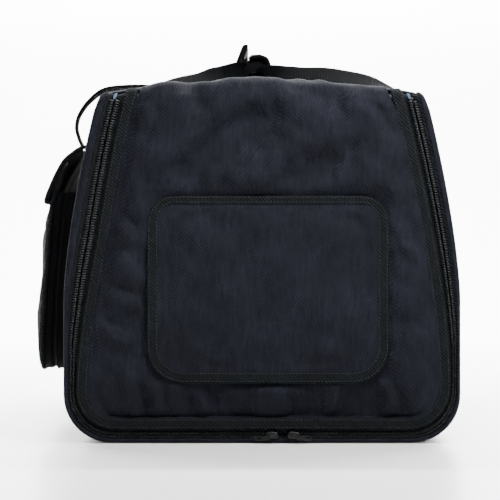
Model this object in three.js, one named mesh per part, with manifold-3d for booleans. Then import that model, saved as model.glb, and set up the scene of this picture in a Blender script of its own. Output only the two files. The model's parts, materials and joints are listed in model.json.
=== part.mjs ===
// Padded box-shaped changing bag with an end door, built in millimetres with +Z up.
// X runs across the bag, Y along it (the door is at -Y), and the origin is the centre of the base.
import * as THREE from 'three';
import { mergeVertices } from 'three/addons/utils/BufferGeometryUtils.js';
import Module from 'manifold-3d';

const wasm = await Module();
wasm.setup();

// ---------- driving dimensions ----------
const LENGTH = 600;
const BASE_HALF = 199; // half width from the floor up to SHOULDER
const SHOULDER = 143;
const BASE_RADIUS = 48;
const TOP_HALF = 166; // half width where the side meets the top corner
const TOP_BREAK = 343;
const TOP_RADIUS = 12;
const CROWN = 363; // height of the top along the middle

const DOOR_HALF = 189;
const DOOR_SHOULDER = 72;
const DOOR_RADIUS = 43;
const DOOR_TOP_HALF = 143.5;
const DOOR_BOTTOM = 13;
const DOOR_CROWN = 359.5;
const WING = 152; // half width of the door above the zip's upper ends
const WING_Z = 345;

const GAP = 0.3;
const SKIN = 1.4;
const FOAM = 8;
const LINING = 1;
const FRONT = -LENGTH / 2;
const BACK = LENGTH / 2;
const WALL_FRONT = FRONT + 13; // the walls stop here, clear of the door as it swings
const LINING_BACK = BACK - 14;
const BINDING = 12.3;

const ZIP_LINE = 0.6; // where the teeth meet, as a share of the way from wall edge to door edge
const COIL_GAP = 0.8;
const COIL = 2.5;
const TAPE_FRONT = FRONT + 4;
const TAPE_BACK = FRONT + 5;

const PORT = { x: 55, z: 150, radius: 47.5 };
const SLEEVE = { length: 200, mouth: 45, wrist: 37, wall: 1.2 };
const FLAP = { x: 6, half: 121, bottom: 60, hinge: 238, top: 247, topRadius: 28, bottomRadius: 37 };
const FLAP_FACE = FRONT - 6.4;
const POCKET = { half: 165, bottom: 62, top: 255, radius: 42 };
const LEG_Y = 130; // the handles' legs, either side of the middle
const STRAP_WIDTH = 44;
const SLIDERS = [{ side: 'left', x: 10, way: -1 }, { side: 'right', x: 32, way: 1 }];

// ---------- materials ----------
function material(color, roughness, metalness = 0) {
  return new THREE.MeshStandardMaterial({ color, roughness, metalness });
}

const TWILL = material(0x23242e, 0.85);
const WEBBING = material(0x202426, 0.8);
const BINDING_TAPE = material(0x24282a, 0.75);
const BLACK_CLOTH = material(0x121316, 0.9);
const FOAM_GREY = material(0x4a4c50, 0.95);
const BOARD = material(0x2c2c2e, 0.7);
const NYLON = material(0x1a1b1d, 0.45);
const METAL = material(0x2a2a2c, 0.35, 0.8);
const HOOK_LOOP = material(0x17181a, 1);
const ELASTIC = material(0x1c1c20, 0.8);

const group = new THREE.Group();

function add(name, geometry, look) {
  const mesh = new THREE.Mesh(geometry, look);
  mesh.name = name;
  group.add(mesh);
}

// ---------- joins and cuts ----------
function solid(geometry) {
  const bare = geometry.clone();
  bare.deleteAttribute('normal');
  bare.deleteAttribute('uv');
  const merged = mergeVertices(bare, 1e-4);
  const mesh = new wasm.Mesh({
    numProp: 3,
    vertProperties: new Float32Array(merged.attributes.position.array),
    triVerts: new Uint32Array(merged.index.array),
  });
  return new wasm.Manifold(mesh);
}

function geometryOf(manifold) {
  const mesh = manifold.getMesh();
  const geometry = new THREE.BufferGeometry();
  geometry.setAttribute('position', new THREE.BufferAttribute(mesh.vertProperties, 3));
  geometry.setIndex(new THREE.BufferAttribute(mesh.triVerts, 1));
  return geometry;
}

function cut(geometry, ...tools) {
  return geometryOf(tools.reduce((left, tool) => left.subtract(solid(tool)), solid(geometry)));
}

function join(geometry, other) {
  return geometryOf(solid(geometry).add(solid(other)));
}

function common(geometry, other) {
  return geometryOf(solid(geometry).intersect(solid(other)));
}

// ---------- outlines ----------
function arc(x, z, radius, from, to, steps) {
  return Array.from({ length: steps + 1 }, (_, i) => {
    const angle = THREE.MathUtils.degToRad(from + ((to - from) * i) / steps);
    return [x + radius * Math.cos(angle), z + radius * Math.sin(angle)];
  });
}

// Closed section of the bag or the door, from the bottom middle up the right and down the left.
// Every section has the same count of points, so points of two sections match one to one.
function section({ half, shoulder, radius, topHalf, topBreak, topRadius, bottom, crown }) {
  const drop = half - topHalf;
  const rise = topBreak - shoulder;
  const lean = THREE.MathUtils.radToDeg(Math.atan((1.5 * drop) / rise));
  const side = Array.from({ length: 6 }, (_, i) => {
    const share = i / 6;
    return [half - drop * share ** 1.5, shoulder + rise * share];
  });
  const turn = THREE.MathUtils.degToRad(lean);
  const corner = [topHalf - topRadius * Math.cos(turn), topBreak - topRadius * Math.sin(turn)];
  const shoulderTurn = arc(corner[0], corner[1], topRadius, lean, 82, 4);
  const [edgeX, edgeZ] = shoulderTurn.at(-1);
  const arch = [0.75, 0.5, 0.25].map((share) => [
    edgeX * share,
    crown - (crown - edgeZ) * share ** 2,
  ]);
  const right = [
    ...arc(half - radius, bottom + radius, radius, -90, 0, 6),
    ...side,
    ...shoulderTurn,
    ...arch,
  ];
  const left = right.map(([x, z]) => [-x, z]).reverse();
  return [...right, [0, crown], ...left];
}

const WALL_END = 6; // index of the last point of the bottom corner
const SIDE_END = 13; // index where the top corner starts

const OUTLINE = section({
  half: BASE_HALF, shoulder: SHOULDER, radius: BASE_RADIUS, topHalf: TOP_HALF,
  topBreak: TOP_BREAK, topRadius: TOP_RADIUS, bottom: 0, crown: CROWN,
});
const DOOR_EDGE = section({
  half: DOOR_HALF, shoulder: DOOR_SHOULDER, radius: DOOR_RADIUS, topHalf: DOOR_TOP_HALF,
  topBreak: 342, topRadius: 9, bottom: DOOR_BOTTOM, crown: DOOR_CROWN,
});
const LAST = OUTLINE.length - 1;

// Moves a closed outline inward by a distance, along the mean normal at each point.
function inset(points, distance) {
  const count = points.length;
  return points.map(([x, z], i) => {
    const before = points[(i + count - 1) % count];
    const after = points[(i + 1) % count];
    const a = new THREE.Vector2(x - before[0], z - before[1]).normalize();
    const b = new THREE.Vector2(after[0] - x, after[1] - z).normalize();
    const mean = a.clone().add(b).normalize();
    const reach = distance / mean.dot(a);
    return [x - mean.y * reach, z + mean.x * reach];
  });
}

function between(outer, inner, share) {
  return outer.map(([x, z], i) => [
    x + (inner[i][0] - x) * share,
    z + (inner[i][1] - z) * share,
  ]);
}

// The stretch of an outline from one index to another, with its ends drawn in by half a gap.
function stretch(points, from, to) {
  const ids = [];
  for (let i = from; i !== to; i = (i + 1) % points.length) ids.push(i);
  const run = [...ids, to].map((i) => points[i].slice());
  [[0, 1], [run.length - 1, run.length - 2]].forEach(([end, next]) => {
    const step = new THREE.Vector2(run[next][0] - run[end][0], run[next][1] - run[end][1]);
    step.setLength(GAP / 2 + 0.02);
    run[end][0] += step.x;
    run[end][1] += step.y;
  });
  return run;
}

function band(outer, inner, from, to) {
  return [...stretch(outer, from, to), ...stretch(inner, from, to).reverse()];
}

// A face in X and Z made solid from one Y to another.
function along(points, fromY, toY, holes = []) {
  const shape = new THREE.Shape(points.map(([x, z]) => new THREE.Vector2(x, z)));
  shape.holes = holes.map((hole) => new THREE.Path(hole.map(([x, z]) => new THREE.Vector2(x, z))));
  const geometry = new THREE.ExtrudeGeometry(shape, { depth: toY - fromY, bevelEnabled: false });
  geometry.rotateX(Math.PI / 2);
  geometry.translate(0, toY, 0);
  return geometry;
}

// A face in Y and Z made solid from one X to another.
function across(points, fromX, toX) {
  const shape = new THREE.Shape(points.map(([y, z]) => new THREE.Vector2(y, z)));
  const geometry = new THREE.ExtrudeGeometry(shape, { depth: toX - fromX, bevelEnabled: false });
  geometry.rotateX(Math.PI / 2);
  geometry.rotateZ(Math.PI / 2);
  geometry.translate(fromX, 0, 0);
  return geometry;
}

function box(low, high) {
  const size = high.map((value, i) => value - low[i]);
  const geometry = new THREE.BoxGeometry(...size);
  geometry.translate(...low.map((value, i) => value + size[i] / 2));
  return geometry;
}

// ---------- padded walls ----------
const SKIN_IN = inset(OUTLINE, SKIN);
const FOAM_OUT = inset(OUTLINE, SKIN + GAP);
const FOAM_IN = inset(OUTLINE, SKIN + GAP + FOAM);
const LINING_OUT = inset(OUTLINE, SKIN + FOAM + 2 * GAP);
const LINING_IN = inset(OUTLINE, SKIN + FOAM + 2 * GAP + LINING);
const BOARD_TOP = SKIN + GAP + FOAM;
const BASE_FOAM_IN = inset(OUTLINE, BOARD_TOP - 2 - GAP);
const BASE_START = LAST - WALL_END;

function walls() {
  const panels = [
    ['base', BASE_START, WALL_END],
    ['right_wall', WALL_END, SIDE_END],
    ['top', SIDE_END, LAST - SIDE_END],
    ['left_wall', LAST - SIDE_END, BASE_START],
  ];
  panels.forEach(([name, from, to]) => {
    const foamIn = name === 'base' ? BASE_FOAM_IN : FOAM_IN;
    add(`${name}_panel`, along(band(OUTLINE, SKIN_IN, from, to), WALL_FRONT, BACK - 4), TWILL);
    add(`${name}_foam`, along(band(FOAM_OUT, foamIn, from, to), WALL_FRONT, LINING_BACK), FOAM_GREY);
  });
  const flat = BASE_HALF - BASE_RADIUS - 6;
  add('base_board', box([-flat, WALL_FRONT, BOARD_TOP - 2], [flat, LINING_BACK, BOARD_TOP]), BOARD);
}

function rearEnd() {
  const rear = inset(OUTLINE, 4);
  add('rear_foam', along(rear, LINING_BACK + GAP, BACK - 1.5), FOAM_GREY);
  add('rear_panel', along(rear, BACK - 1.2, BACK), TWILL);
  const ring = along(OUTLINE, BACK - 3.7, BACK, [inset(OUTLINE, 3.7)]);
  add('rear_piping', ring, BINDING_TAPE);
}

function chamber() {
  const outer = along(LINING_OUT, WALL_FRONT, LINING_BACK - GAP);
  const inner = along(LINING_IN, WALL_FRONT - 5, LINING_BACK - GAP - LINING);
  add('chamber_lining', cut(outer, inner), BLACK_CLOTH);
}

// ---------- zip round three sides of the door ----------
const MIDDLE = between(OUTLINE, DOOR_EDGE, ZIP_LINE);

function zip() {
  const zipBand = (outer, inner, fromY, toY) => along(
    band(outer, inner, LAST - SIDE_END, SIDE_END), fromY, toY);
  const rim = between(OUTLINE, DOOR_EDGE, 0.13);
  add('zip_rim_band', zipBand(OUTLINE, rim, FRONT, WALL_FRONT - GAP), TWILL);
  const bodyTape = zipBand(inset(rim, GAP), inset(MIDDLE, -COIL_GAP), TAPE_FRONT, TAPE_BACK);
  const bodyCoil = zipBand(
    inset(MIDDLE, -COIL_GAP - COIL), inset(MIDDLE, -COIL_GAP), FRONT + 0.4, TAPE_BACK - 0.5);
  add('zip_stringer_body', join(bodyTape, bodyCoil), NYLON);
  const doorTape = zipBand(
    inset(MIDDLE, COIL_GAP), inset(DOOR_EDGE, BINDING - 1), TAPE_FRONT, TAPE_BACK);
  const doorCoil = zipBand(
    inset(MIDDLE, COIL_GAP), inset(MIDDLE, COIL_GAP + COIL), FRONT + 0.4, TAPE_BACK - 0.5);
  const left = SLIDERS[0].x - 7.5;
  const right = SLIDERS[1].x + 7.5;
  const notch = box([left, FRONT - 1, 0], [right, TAPE_BACK + 1, DOOR_BOTTOM - 0.5]);
  add('zip_stringer_door', cut(join(doorTape, doorCoil), notch), NYLON);
  [-1, 1].forEach((side) => {
    const x = side * 160.4;
    const word = side < 0 ? 'left' : 'right';
    const stop = box([x - 1.8, FRONT + 0.4, 334], [x + 1.8, TAPE_FRONT - GAP, 342]);
    add(`zip_end_${word}`, stop, BINDING_TAPE);
    const turn = OUTLINE.slice(SIDE_END + 1, SIDE_END + 5);
    const corner = [...turn, [WING + 1.5, turn[0][1]]].map(([px, pz]) => [side * px, pz]);
    add(`top_corner_${word}`, along(corner, FRONT, WALL_FRONT - GAP), TWILL);
  });
}

// Slider: two plates joined by a neck that runs in the gap between the rows of teeth.
function sliders() {
  const gapZ = MIDDLE[0][1];
  const wide = 3.8;
  const neck = 0.45;
  const front = FRONT - 3.2;
  const inner = FRONT;
  const rear = TAPE_BACK + 0.4;
  const face = [
    [front, gapZ - wide], [inner, gapZ - wide], [inner, gapZ - neck], [rear, gapZ - neck],
    [rear, gapZ - wide], [rear + 1.4, gapZ - wide], [rear + 1.4, gapZ + wide],
    [rear, gapZ + wide], [rear, gapZ + neck], [inner, gapZ + neck],
    [inner, gapZ + wide], [front, gapZ + wide],
  ];
  SLIDERS.forEach(({ side, x, way }) => {
    add(`slider_${side}`, across(face, x - 6.5, x + 6.5), METAL);
    const near = way * 1.5;
    const far = way * 18;
    const low = [x + Math.min(near, far), front - 2, gapZ - 5.4];
    add(`pull_${side}`, box(low, [x + Math.max(near, far), front - GAP, gapZ + 0.4]), METAL);
  });
}

// ---------- door ----------
function circle(x, z, radius, steps = 28) {
  return arc(x, z, radius, 0, 360, steps).slice(0, -1);
}

function portHoles(radius) {
  return [-1, 1].map((side) => circle(FLAP.x + side * PORT.x, PORT.z, radius));
}

// The door's face inside its binding; its top edge follows the crown of the bag, and wings
// carry it past the upper ends of the binding and the zip.
function doorFace(depth, wing = 0) {
  const sides = inset(DOOR_EDGE, depth).slice(0, SIDE_END + 1);
  const edgeX = sides.at(-1)[0];
  const top = DOOR_CROWN - (depth - BINDING);
  const wide = wing || edgeX;
  const step = wing ? [[edgeX, WING_Z], [wing, WING_Z]] : [];
  const arch = [1, 0.6, 0.3].map((share) => [wide * share, top - 7 * share ** 2]);
  const right = [...sides, ...step, ...arch];
  return [...right, [0, top], ...right.map(([x, z]) => [-x, z]).reverse()];
}

function door() {
  const from = LAST - SIDE_END;
  const padding = doorFace(BINDING + 1.5);
  const holes = portHoles(PORT.radius);
  add('door_panel', along(doorFace(BINDING, WING), FRONT, FRONT + 1.2, holes), TWILL);
  add('door_foam', along(padding, FRONT + 1.5, FRONT + 8.5, holes), FOAM_GREY);
  add('door_lining', along(padding, FRONT + 8.8, FRONT + 9.8, holes), BLACK_CLOTH);
  const bound = band(DOOR_EDGE, inset(DOOR_EDGE, BINDING - GAP), from, SIDE_END);
  add('door_binding', along(bound, FRONT - 0.8, TAPE_FRONT - GAP), BINDING_TAPE);
}

// A ring or tube about an axis along Y, from a profile of [radius, y] that closes on itself.
function turned(profile, x, z, steps = 28) {
  const points = profile.map(([radius, y]) => new THREE.Vector2(radius, y));
  const geometry = new THREE.LatheGeometry([...points, points[0]], steps);
  geometry.translate(x, 0, z);
  return geometry;
}

function armPorts() {
  const { length, mouth, wrist, wall } = SLEEVE;
  const start = FRONT + 10.4;
  const end = start + length;
  [-1, 1].forEach((side) => {
    const x = FLAP.x + side * PORT.x;
    const name = side < 0 ? 'left' : 'right';
    const hole = PORT.radius - GAP;
    const hem = [
      [hole - 1.4, FRONT - 1.6], [hole + 7, FRONT - 1.6], [hole + 7, FRONT - GAP],
      [hole, FRONT - GAP], [hole, FRONT + 10], [hole - 1.4, FRONT + 10],
    ];
    add(`arm_port_hem_${name}`, turned(hem, x, PORT.z), BINDING_TAPE);
    const tube = [
      [mouth - wall, start], [mouth + 1, start], [wrist, end], [wrist - wall, end],
    ];
    add(`sleeve_${name}`, turned(tube, x, PORT.z), BLACK_CLOTH);
    const cuff = [
      [wrist - 4, end + GAP], [wrist + 0.8, end + GAP],
      [wrist + 0.8, end + 22], [wrist - 4, end + 22],
    ];
    add(`cuff_${name}`, turned(cuff, x, PORT.z), ELASTIC);
  });
}

// ---------- flap over the arm ports ----------
function flapEdge(depth) {
  const { x, half, bottom, hinge, top, topRadius, bottomRadius } = FLAP;
  const topZ = top - topRadius;
  const cutAngle = THREE.MathUtils.radToDeg(Math.asin((hinge - GAP - topZ) / topRadius));
  const low = [x + half - bottomRadius, bottom + bottomRadius];
  const high = [x + half - topRadius, topZ];
  const right = [
    ...arc(low[0], low[1], bottomRadius - depth, -90, 0, 6),
    ...arc(high[0], high[1], topRadius - depth, 0, cutAngle, 3),
  ];
  right.at(-1)[1] = hinge - GAP;
  return [...right, ...right.map(([px, pz]) => [2 * x - px, pz]).reverse()];
}

function flap() {
  const { x, half, hinge, top, topRadius } = FLAP;
  const wide = flapEdge(0);
  const narrow = flapEdge(BINDING - GAP);
  const face = flapEdge(BINDING);
  add('flap_panel', along(face, FLAP_FACE + 0.3, FRONT - 3.7), TWILL);
  const middle = wide.length / 2;
  const order = (points) => [...points.slice(middle), ...points.slice(0, middle)];
  const bound = [...order(wide), ...order(narrow).reverse()];
  add('flap_binding', along(bound, FLAP_FACE, FRONT - 3.3), BINDING_TAPE);
  const topZ = top - topRadius;
  const startAngle = THREE.MathUtils.radToDeg(Math.asin((hinge + GAP - topZ) / topRadius));
  const right = arc(x + half - topRadius, topZ, topRadius, startAngle, 90, 4);
  const tape = [...right, ...right.map(([px, pz]) => [2 * x - px, pz]).reverse()];
  add('flap_top_tape', along(tape, FRONT - 3, FRONT - GAP), BINDING_TAPE);
  const grip = (name, near, far) => add(
    name, box([x - 45, near, 62], [x + 45, far, 70]), HOOK_LOOP);
  grip('flap_hook_strip', FRONT - 3, FRONT - 1.9);
  grip('door_loop_strip', FRONT - 1.6, FRONT - GAP);
}

// ---------- pocket on the left wall ----------
// Outer face of the pocket's front, as [x, z].
const POCKET_FACE = [[-238, 60], [-233, 143], [-225.5, 241], [-221, 257]];

function pocketFront(out) {
  return POCKET_FACE.map(([x, z]) => [x - out, z]);
}

function wallFace(out) {
  const run = OUTLINE.slice(LAST - SIDE_END, BASE_START + 1).reverse();
  return run.map(([x, z]) => [x - out, z]);
}

function pocketEdge(depth) {
  const { half, bottom, top, radius } = POCKET;
  const right = arc(half - radius, bottom + radius, radius - depth, -90, 0, 5);
  const corner = [half - depth, top];
  return [...right, corner, [-corner[0], top], ...right.map(([y, z]) => [-y, z]).reverse()];
}

function pocketRim(outer, inner) {
  const order = (points) => [...points.slice(points.length / 2), ...points.slice(0, points.length / 2)];
  return [...order(pocketEdge(outer)), ...order(pocketEdge(inner)).reverse()];
}

function pocket() {
  const slab = (outer, inner) => along(
    [...pocketFront(outer), ...pocketFront(inner).reverse()], -POCKET.half - 5, POCKET.half + 5);
  const frontSolid = across(pocketEdge(4.3), -245, -200);
  add('pocket_front', common(slab(0, -2), frontSolid), BLACK_CLOTH);
  const rim = across(pocketRim(0, 4), -245, -200);
  add('pocket_piping', common(slab(1, -3), rim), BINDING_TAPE);
  const depth = along(
    [...pocketFront(-3.3), ...wallFace(0.5).filter(([, z]) => z < 300).reverse()],
    -POCKET.half - 5, POCKET.half + 5);
  const gussetWall = across(pocketRim(1, 2.6), -245, -180);
  add('pocket_gusset', common(depth, gussetWall), BLACK_CLOTH);
  const strip = across([[-50, 236], [50, 236], [50, 249], [-50, 249]], -245, -200);
  add('pocket_loop_strip', common(slab(1.4, 0.4), strip), HOOK_LOOP);
}

// Flap profile, outer face then inner face, as [x, z] from the seam on the wall to the tip.
const POCKET_FLAP_OUT = [[-177.8, 306.3], [-191, 304.4], [-210, 290.5], [-232, 246]];
const POCKET_FLAP_IN = [[-229, 244.6], [-207.6, 288.4], [-190, 301.6], [-177.8, 303.7]];

// Section of a strip beside the line from a to b: from and to run along it, near and far off it.
function beside(a, b, from, to, near, far) {
  const way = new THREE.Vector2(b[0] - a[0], b[1] - a[1]).normalize();
  return [[from, near], [to, near], [to, far], [from, far]].map(([run, off]) => [
    a[0] + way.x * run + way.y * off,
    a[1] + way.y * run - way.x * off,
  ]);
}

function pocketFlap() {
  const wide = POCKET.half + 3;
  const profile = along([...POCKET_FLAP_OUT, ...POCKET_FLAP_IN], -wide, wide);
  const slots = [-1, 1].map((side) => box(
    [-206, side * LEG_Y - 26, 285], [-170, side * LEG_Y + 26, 310]));
  const body = cut(profile, ...slots);
  const lip = box([-240, -wide - 1, 230], [-200, wide + 1, 257]);
  add('pocket_flap_panel', cut(body, lip), BLACK_CLOTH);
  const edge = box([-240, -wide - 1, 230], [-200, wide + 1, 257 - GAP]);
  add('pocket_flap_binding', common(profile, edge), BINDING_TAPE);
  const hook = beside(POCKET_FLAP_IN[0], POCKET_FLAP_IN[1], 3, 14, 0.4, 1.4);
  add('pocket_hook_strip', along(hook, -50, 50), HOOK_LOOP);
}

// ---------- carry handles ----------
// Half of each strap's middle line, from the wall seam to the middle of the grip, as
// [x, y, z, tilt]: tilt is the strap's lean about the Y axis or, on the top, its flat face's lean.
const LEFT_ROUTE = [
  [-196, -130, 308.5], [-199.5, -130, 317], [-201.5, -130, 328], [-198, -130, 341],
  [-187, -130, 356], [-170, -129, 368], [-142, -126, 371.5], [-112, -119, 373.5],
  [-84, -108, 376.5], [-58, -96, 379.5], [-40, -84, 384], [-22.5, -72, 394], [-19.8, -62, 401.5],
];
const RIGHT_ROUTE = [
  [179.5, -130, 302], [177, -130, 318], [174, -130, 334], [169.5, -130, 349],
  [160, -130, 361], [145, -128, 368.5], [126, -124, 374.5], [107, -117, 379],
  [86, -109, 382], [64, -101, 383], [42, -93, 383.5], [24, -85, 385], [10, -77, 388],
  [0, -70, 390.6], [-3.4, -64, 391.4],
];
const STRAP_THICK = 2.6;
const WRAP_CORE_HALF = 57;

// One flat strap: a rectangle carried along the route, its width turned to lie as webbing lies.
function strap(route, widths, leans) {
  const mirrored = route.map(([x, y, z]) => [x, -y, z]).reverse();
  const points = [...route, ...mirrored].map((point) => new THREE.Vector3(...point));
  const allWidths = [...widths, ...[...widths].reverse()];
  const allLeans = [...leans, ...leans.map(([x, y, z]) => [x, -y, z]).reverse()];
  const positions = [];
  const faces = [];
  points.forEach((point, i) => {
    const ahead = points[Math.min(i + 1, points.length - 1)];
    const behind = points[Math.max(i - 1, 0)];
    const way = ahead.clone().sub(behind).normalize();
    const lean = allLeans[i];
    const side = new THREE.Vector3(...lean);
    side.sub(way.clone().multiplyScalar(side.dot(way))).normalize();
    const flat = new THREE.Vector3().crossVectors(way, side).normalize();
    const half = allWidths[i] / 2;
    [[-1, -1], [1, -1], [1, 1], [-1, 1]].forEach(([a, b]) => {
      const corner = point.clone()
        .addScaledVector(side, a * half)
        .addScaledVector(flat, (b * STRAP_THICK) / 2);
      positions.push(corner.x, corner.y, corner.z);
    });
    if (i === 0) return;
    const now = i * 4;
    const was = now - 4;
    for (let k = 0; k < 4; k += 1) {
      const next = (k + 1) % 4;
      faces.push(was + k, was + next, now + next, was + k, now + next, now + k);
    }
  });
  const end = (points.length - 1) * 4;
  faces.push(0, 3, 2, 0, 2, 1, end, end + 1, end + 2, end, end + 2, end + 3);
  const geometry = new THREE.BufferGeometry();
  geometry.setAttribute('position', new THREE.Float32BufferAttribute(positions, 3));
  geometry.setIndex(faces);
  return geometry;
}

function handles() {
  const flatLean = [0, 1, 0];
  const leftLeans = [
    ...Array(7).fill(flatLean), [0, 1, 0.15], [0.1, 1, 0.45], [0.1, 0.9, 0.6],
    [0.1, 0.7, 0.9], [0.3, 0.3, 1], [0.45, 0, 1],
  ];
  const leftWidths = [...Array(9).fill(STRAP_WIDTH), 38, 28, 22, 20];
  add('handle_strap_left', strap(LEFT_ROUTE, leftWidths, leftLeans), WEBBING);
  const rightLeans = [
    ...Array(5).fill(flatLean), [0, 1, 0.15], [0, 1, 0.35], [0, 1, 0.5], [0, 1, 0.6],
    [0, 1, 0.8], [0, 1, 0.9], [-0.2, 0.9, 1.1], [-0.5, 0.6, 1], [-1, 0.35, 0.4], [-1, 0.1, 0],
  ];
  const rightWidths = [...Array(10).fill(STRAP_WIDTH), 42, 36, 28, 22, 20];
  add('handle_strap_right', strap(RIGHT_ROUTE, rightWidths, rightLeans), WEBBING);
  handleAnchors();
  gripWrap();
}

// Half width of the bag at a height on its side.
function wallAt(z) {
  const side = OUTLINE.slice(WALL_END, SIDE_END + 1);
  const above = side.findIndex((point) => point[1] > z);
  const [a, b] = [side[above - 1], side[above]];
  return a[0] + ((b[0] - a[0]) * (z - a[1])) / (b[1] - a[1]);
}

// Each strap's end sewn flat to the wall. The left ends turn outward through the slots in the
// pocket flap before the free strap starts.
function handleAnchors() {
  const levels = [262, 275, 288];
  const sewn = (off) => levels.map((z) => [wallAt(z) + off, z]);
  const outlines = {
    right: [...sewn(0.7), [wallAt(299) + 0.7, 299], [wallAt(299) + 3, 299], ...sewn(3).reverse()],
    left: [
      ...sewn(0.7), [181.5, 296.5], [187.5, 302.7], [193.8, 306.8],
      [195.2, 304.8], [189, 300.7], [184, 295.6], ...sewn(3).reverse(),
    ],
  };
  Object.entries(outlines).forEach(([word, outline]) => {
    const points = outline.map(([x, z]) => [word === 'left' ? -x : x, z]);
    [['near', -LEG_Y], ['far', LEG_Y]].forEach(([end, y]) => {
      const half = STRAP_WIDTH / 2;
      add(`handle_anchor_${word}_${end}`, along(points, y - half, y + half), WEBBING);
    });
  });
}

// Padded grip wrap: a base under the straps in two parts, a soft core on the right one, and
// two flaps that close over them.
function gripWrap() {
  const half = 62;
  const piece = (name, points, look = BLACK_CLOTH) => add(name, along(points, -half, half), look);
  piece('wrap_base_left', [[-31, 384.6], [-19, 384.6], [-19, 387.4], [-31, 387.4]]);
  piece('wrap_base_right', [[-13, 384.6], [8, 384.6], [8, 387.4], [-13, 387.4]]);
  const core = [
    [-11, 393.4], [6.9, 393.4], [7.2, 401], [4.6, 406.4], [1.6, 408.6], [-11, 408.2]];
  add('wrap_core', along(core, -WRAP_CORE_HALF, WRAP_CORE_HALF), BLACK_CLOTH);
  piece('wrap_flap_left', [
    [-31.2, 388], [-28.2, 388], [-25.6, 399.6], [-14.4, 423], [-16.8, 424.6], [-28.8, 400.6]]);
  piece('wrap_flap_right', [
    [12.5, 388], [11.5, 402], [8.6, 410], [3.5, 413], [-13, 412.4], [-13, 409.6],
    [2.5, 410], [6.2, 407.6], [8.6, 401.4], [9.5, 388]]);
  const hook = beside([-25.6, 399.6], [-14.4, 423], 14, 24, 0.4, 1.4);
  piece('wrap_hook_strip', hook, HOOK_LOOP);
  piece('wrap_loop_strip', [[-11, 413.1], [1, 413.6], [1, 414.6], [-11, 414.1]], HOOK_LOOP);
}

walls();
rearEnd();
chamber();
zip();
sliders();
door();
armPorts();
flap();
pocket();
pocketFlap();
handles();

export default group;
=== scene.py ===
"""Looks of a padded box-shaped changing bag with an end door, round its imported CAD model.

Sizes are in millimetres as the CAD source has them; make() turns them into metres.
X runs across the bag, Y along it with the door at the low end, and Z is up.
"""
import json
import math

import bmesh
import bpy
import numpy as np
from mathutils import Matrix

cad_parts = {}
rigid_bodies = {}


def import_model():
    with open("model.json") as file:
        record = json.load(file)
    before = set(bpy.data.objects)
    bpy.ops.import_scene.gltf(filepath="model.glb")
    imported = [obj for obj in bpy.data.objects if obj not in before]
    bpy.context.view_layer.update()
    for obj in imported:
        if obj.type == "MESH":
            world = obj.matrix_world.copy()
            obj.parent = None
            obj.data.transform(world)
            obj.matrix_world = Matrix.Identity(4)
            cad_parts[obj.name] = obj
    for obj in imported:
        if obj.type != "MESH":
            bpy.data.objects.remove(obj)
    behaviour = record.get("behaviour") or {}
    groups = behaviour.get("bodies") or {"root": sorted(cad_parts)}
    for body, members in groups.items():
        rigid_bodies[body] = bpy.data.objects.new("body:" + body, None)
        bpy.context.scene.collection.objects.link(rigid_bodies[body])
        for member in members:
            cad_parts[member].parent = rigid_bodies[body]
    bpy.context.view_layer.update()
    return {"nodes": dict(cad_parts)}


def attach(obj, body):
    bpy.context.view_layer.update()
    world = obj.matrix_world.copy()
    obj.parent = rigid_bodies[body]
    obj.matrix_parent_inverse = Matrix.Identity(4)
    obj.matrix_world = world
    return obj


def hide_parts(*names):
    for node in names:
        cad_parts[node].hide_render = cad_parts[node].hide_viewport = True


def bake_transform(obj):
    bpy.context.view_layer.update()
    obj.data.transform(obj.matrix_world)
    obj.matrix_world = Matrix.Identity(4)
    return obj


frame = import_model()

MM = 0.001

# ---------- driving sizes ----------
FRONT = -300.0
WALL_FRONT = -287.0
MID_Z = 178.0  # middle height of the bag's end
BINDING = 12.3
EDGE_ROLL = 9.0  # radius of the fold where the door's fabric goes over onto the top
RISE = 16.0  # how far the zip's bands run on past the top corners, over that fold
BAG = dict(half=199, shoulder=143, radius=48, top_half=166, top_break=343,
           top_radius=12, bottom=0, crown=363)
DOOR = dict(half=189, shoulder=72, radius=43, top_half=143.5, top_break=342,
            top_radius=9, bottom=13, crown=359.5)
ZIP_LINE = 0.6  # where the teeth meet at the foot, as a share of the way from wall to door
ZIP_LINE_SIDE = 0.68  # and up the sides
COIL_SHARE = 0.215  # width of one row of teeth as a share of the gap from wall to door
TOOTH_PITCH = 2.55
TEETH_TOP = 343.0
TEETH_PART = 0.45  # each row stops this far from the line between them, clear of the sliders
SLIDERS = {"left": (10.0, -1), "right": (32.0, 1)}  # place across the bag, way its pull points
PORT_X = 55.0
PORT_Z = 150.0
PORT_RADIUS = 47.5
SLEEVE = dict(start=10.4, end=210.4)  # behind the door's front
FLAP_X = 6.0
FLAP_HALF = 121.0
FLAP_LOW = 60.0
FLAP_FOLD = 238.0
FLAP_TOP = 247.0
FLAP_TOP_RADIUS = 28.0
FLAP_LOW_RADIUS = 37.0
FLAP_FACE = FRONT - 6.2
FLAP_TOP_TAPE = 7.6  # width of the tape along the flap's top
FOLD_LIMIT = 9.5  # how far the door's folds and puffs may stand out
FOOT_DEPTH = 7.5  # how far the padding draws back along the door's foot
POCKET_HALF = 165.0
POCKET_LOW = 62.0
POCKET_TOP = 255.0
POCKET_RADIUS = 42.0
POCKET_FACE = np.array([[60, -238], [143, -233], [241, -225.5], [257, -221]], float)
LEG_Y = 130.0
WRAP_HALF = 62.0
CORE_HALF = 57.0
WEBBING_THICK = 2.6
CLOTH_STEP = 5.0  # size of the squares that the cloth is made of
INSIDE_TOP = 346.0  # where the door's foam and lining end
ARCH_START = 300.0  # above this height the door's rows follow the arch of the top
STITCH = dict(pitch=3.6, length=2.5, radius=0.42)
SIM_FRAMES = 16
SIXTHS = np.radians(np.arange(0, 360, 60))
EIGHTHS = np.radians(np.arange(0, 360, 45))
TWELFTHS = np.radians(np.arange(0, 360, 30))


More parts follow.
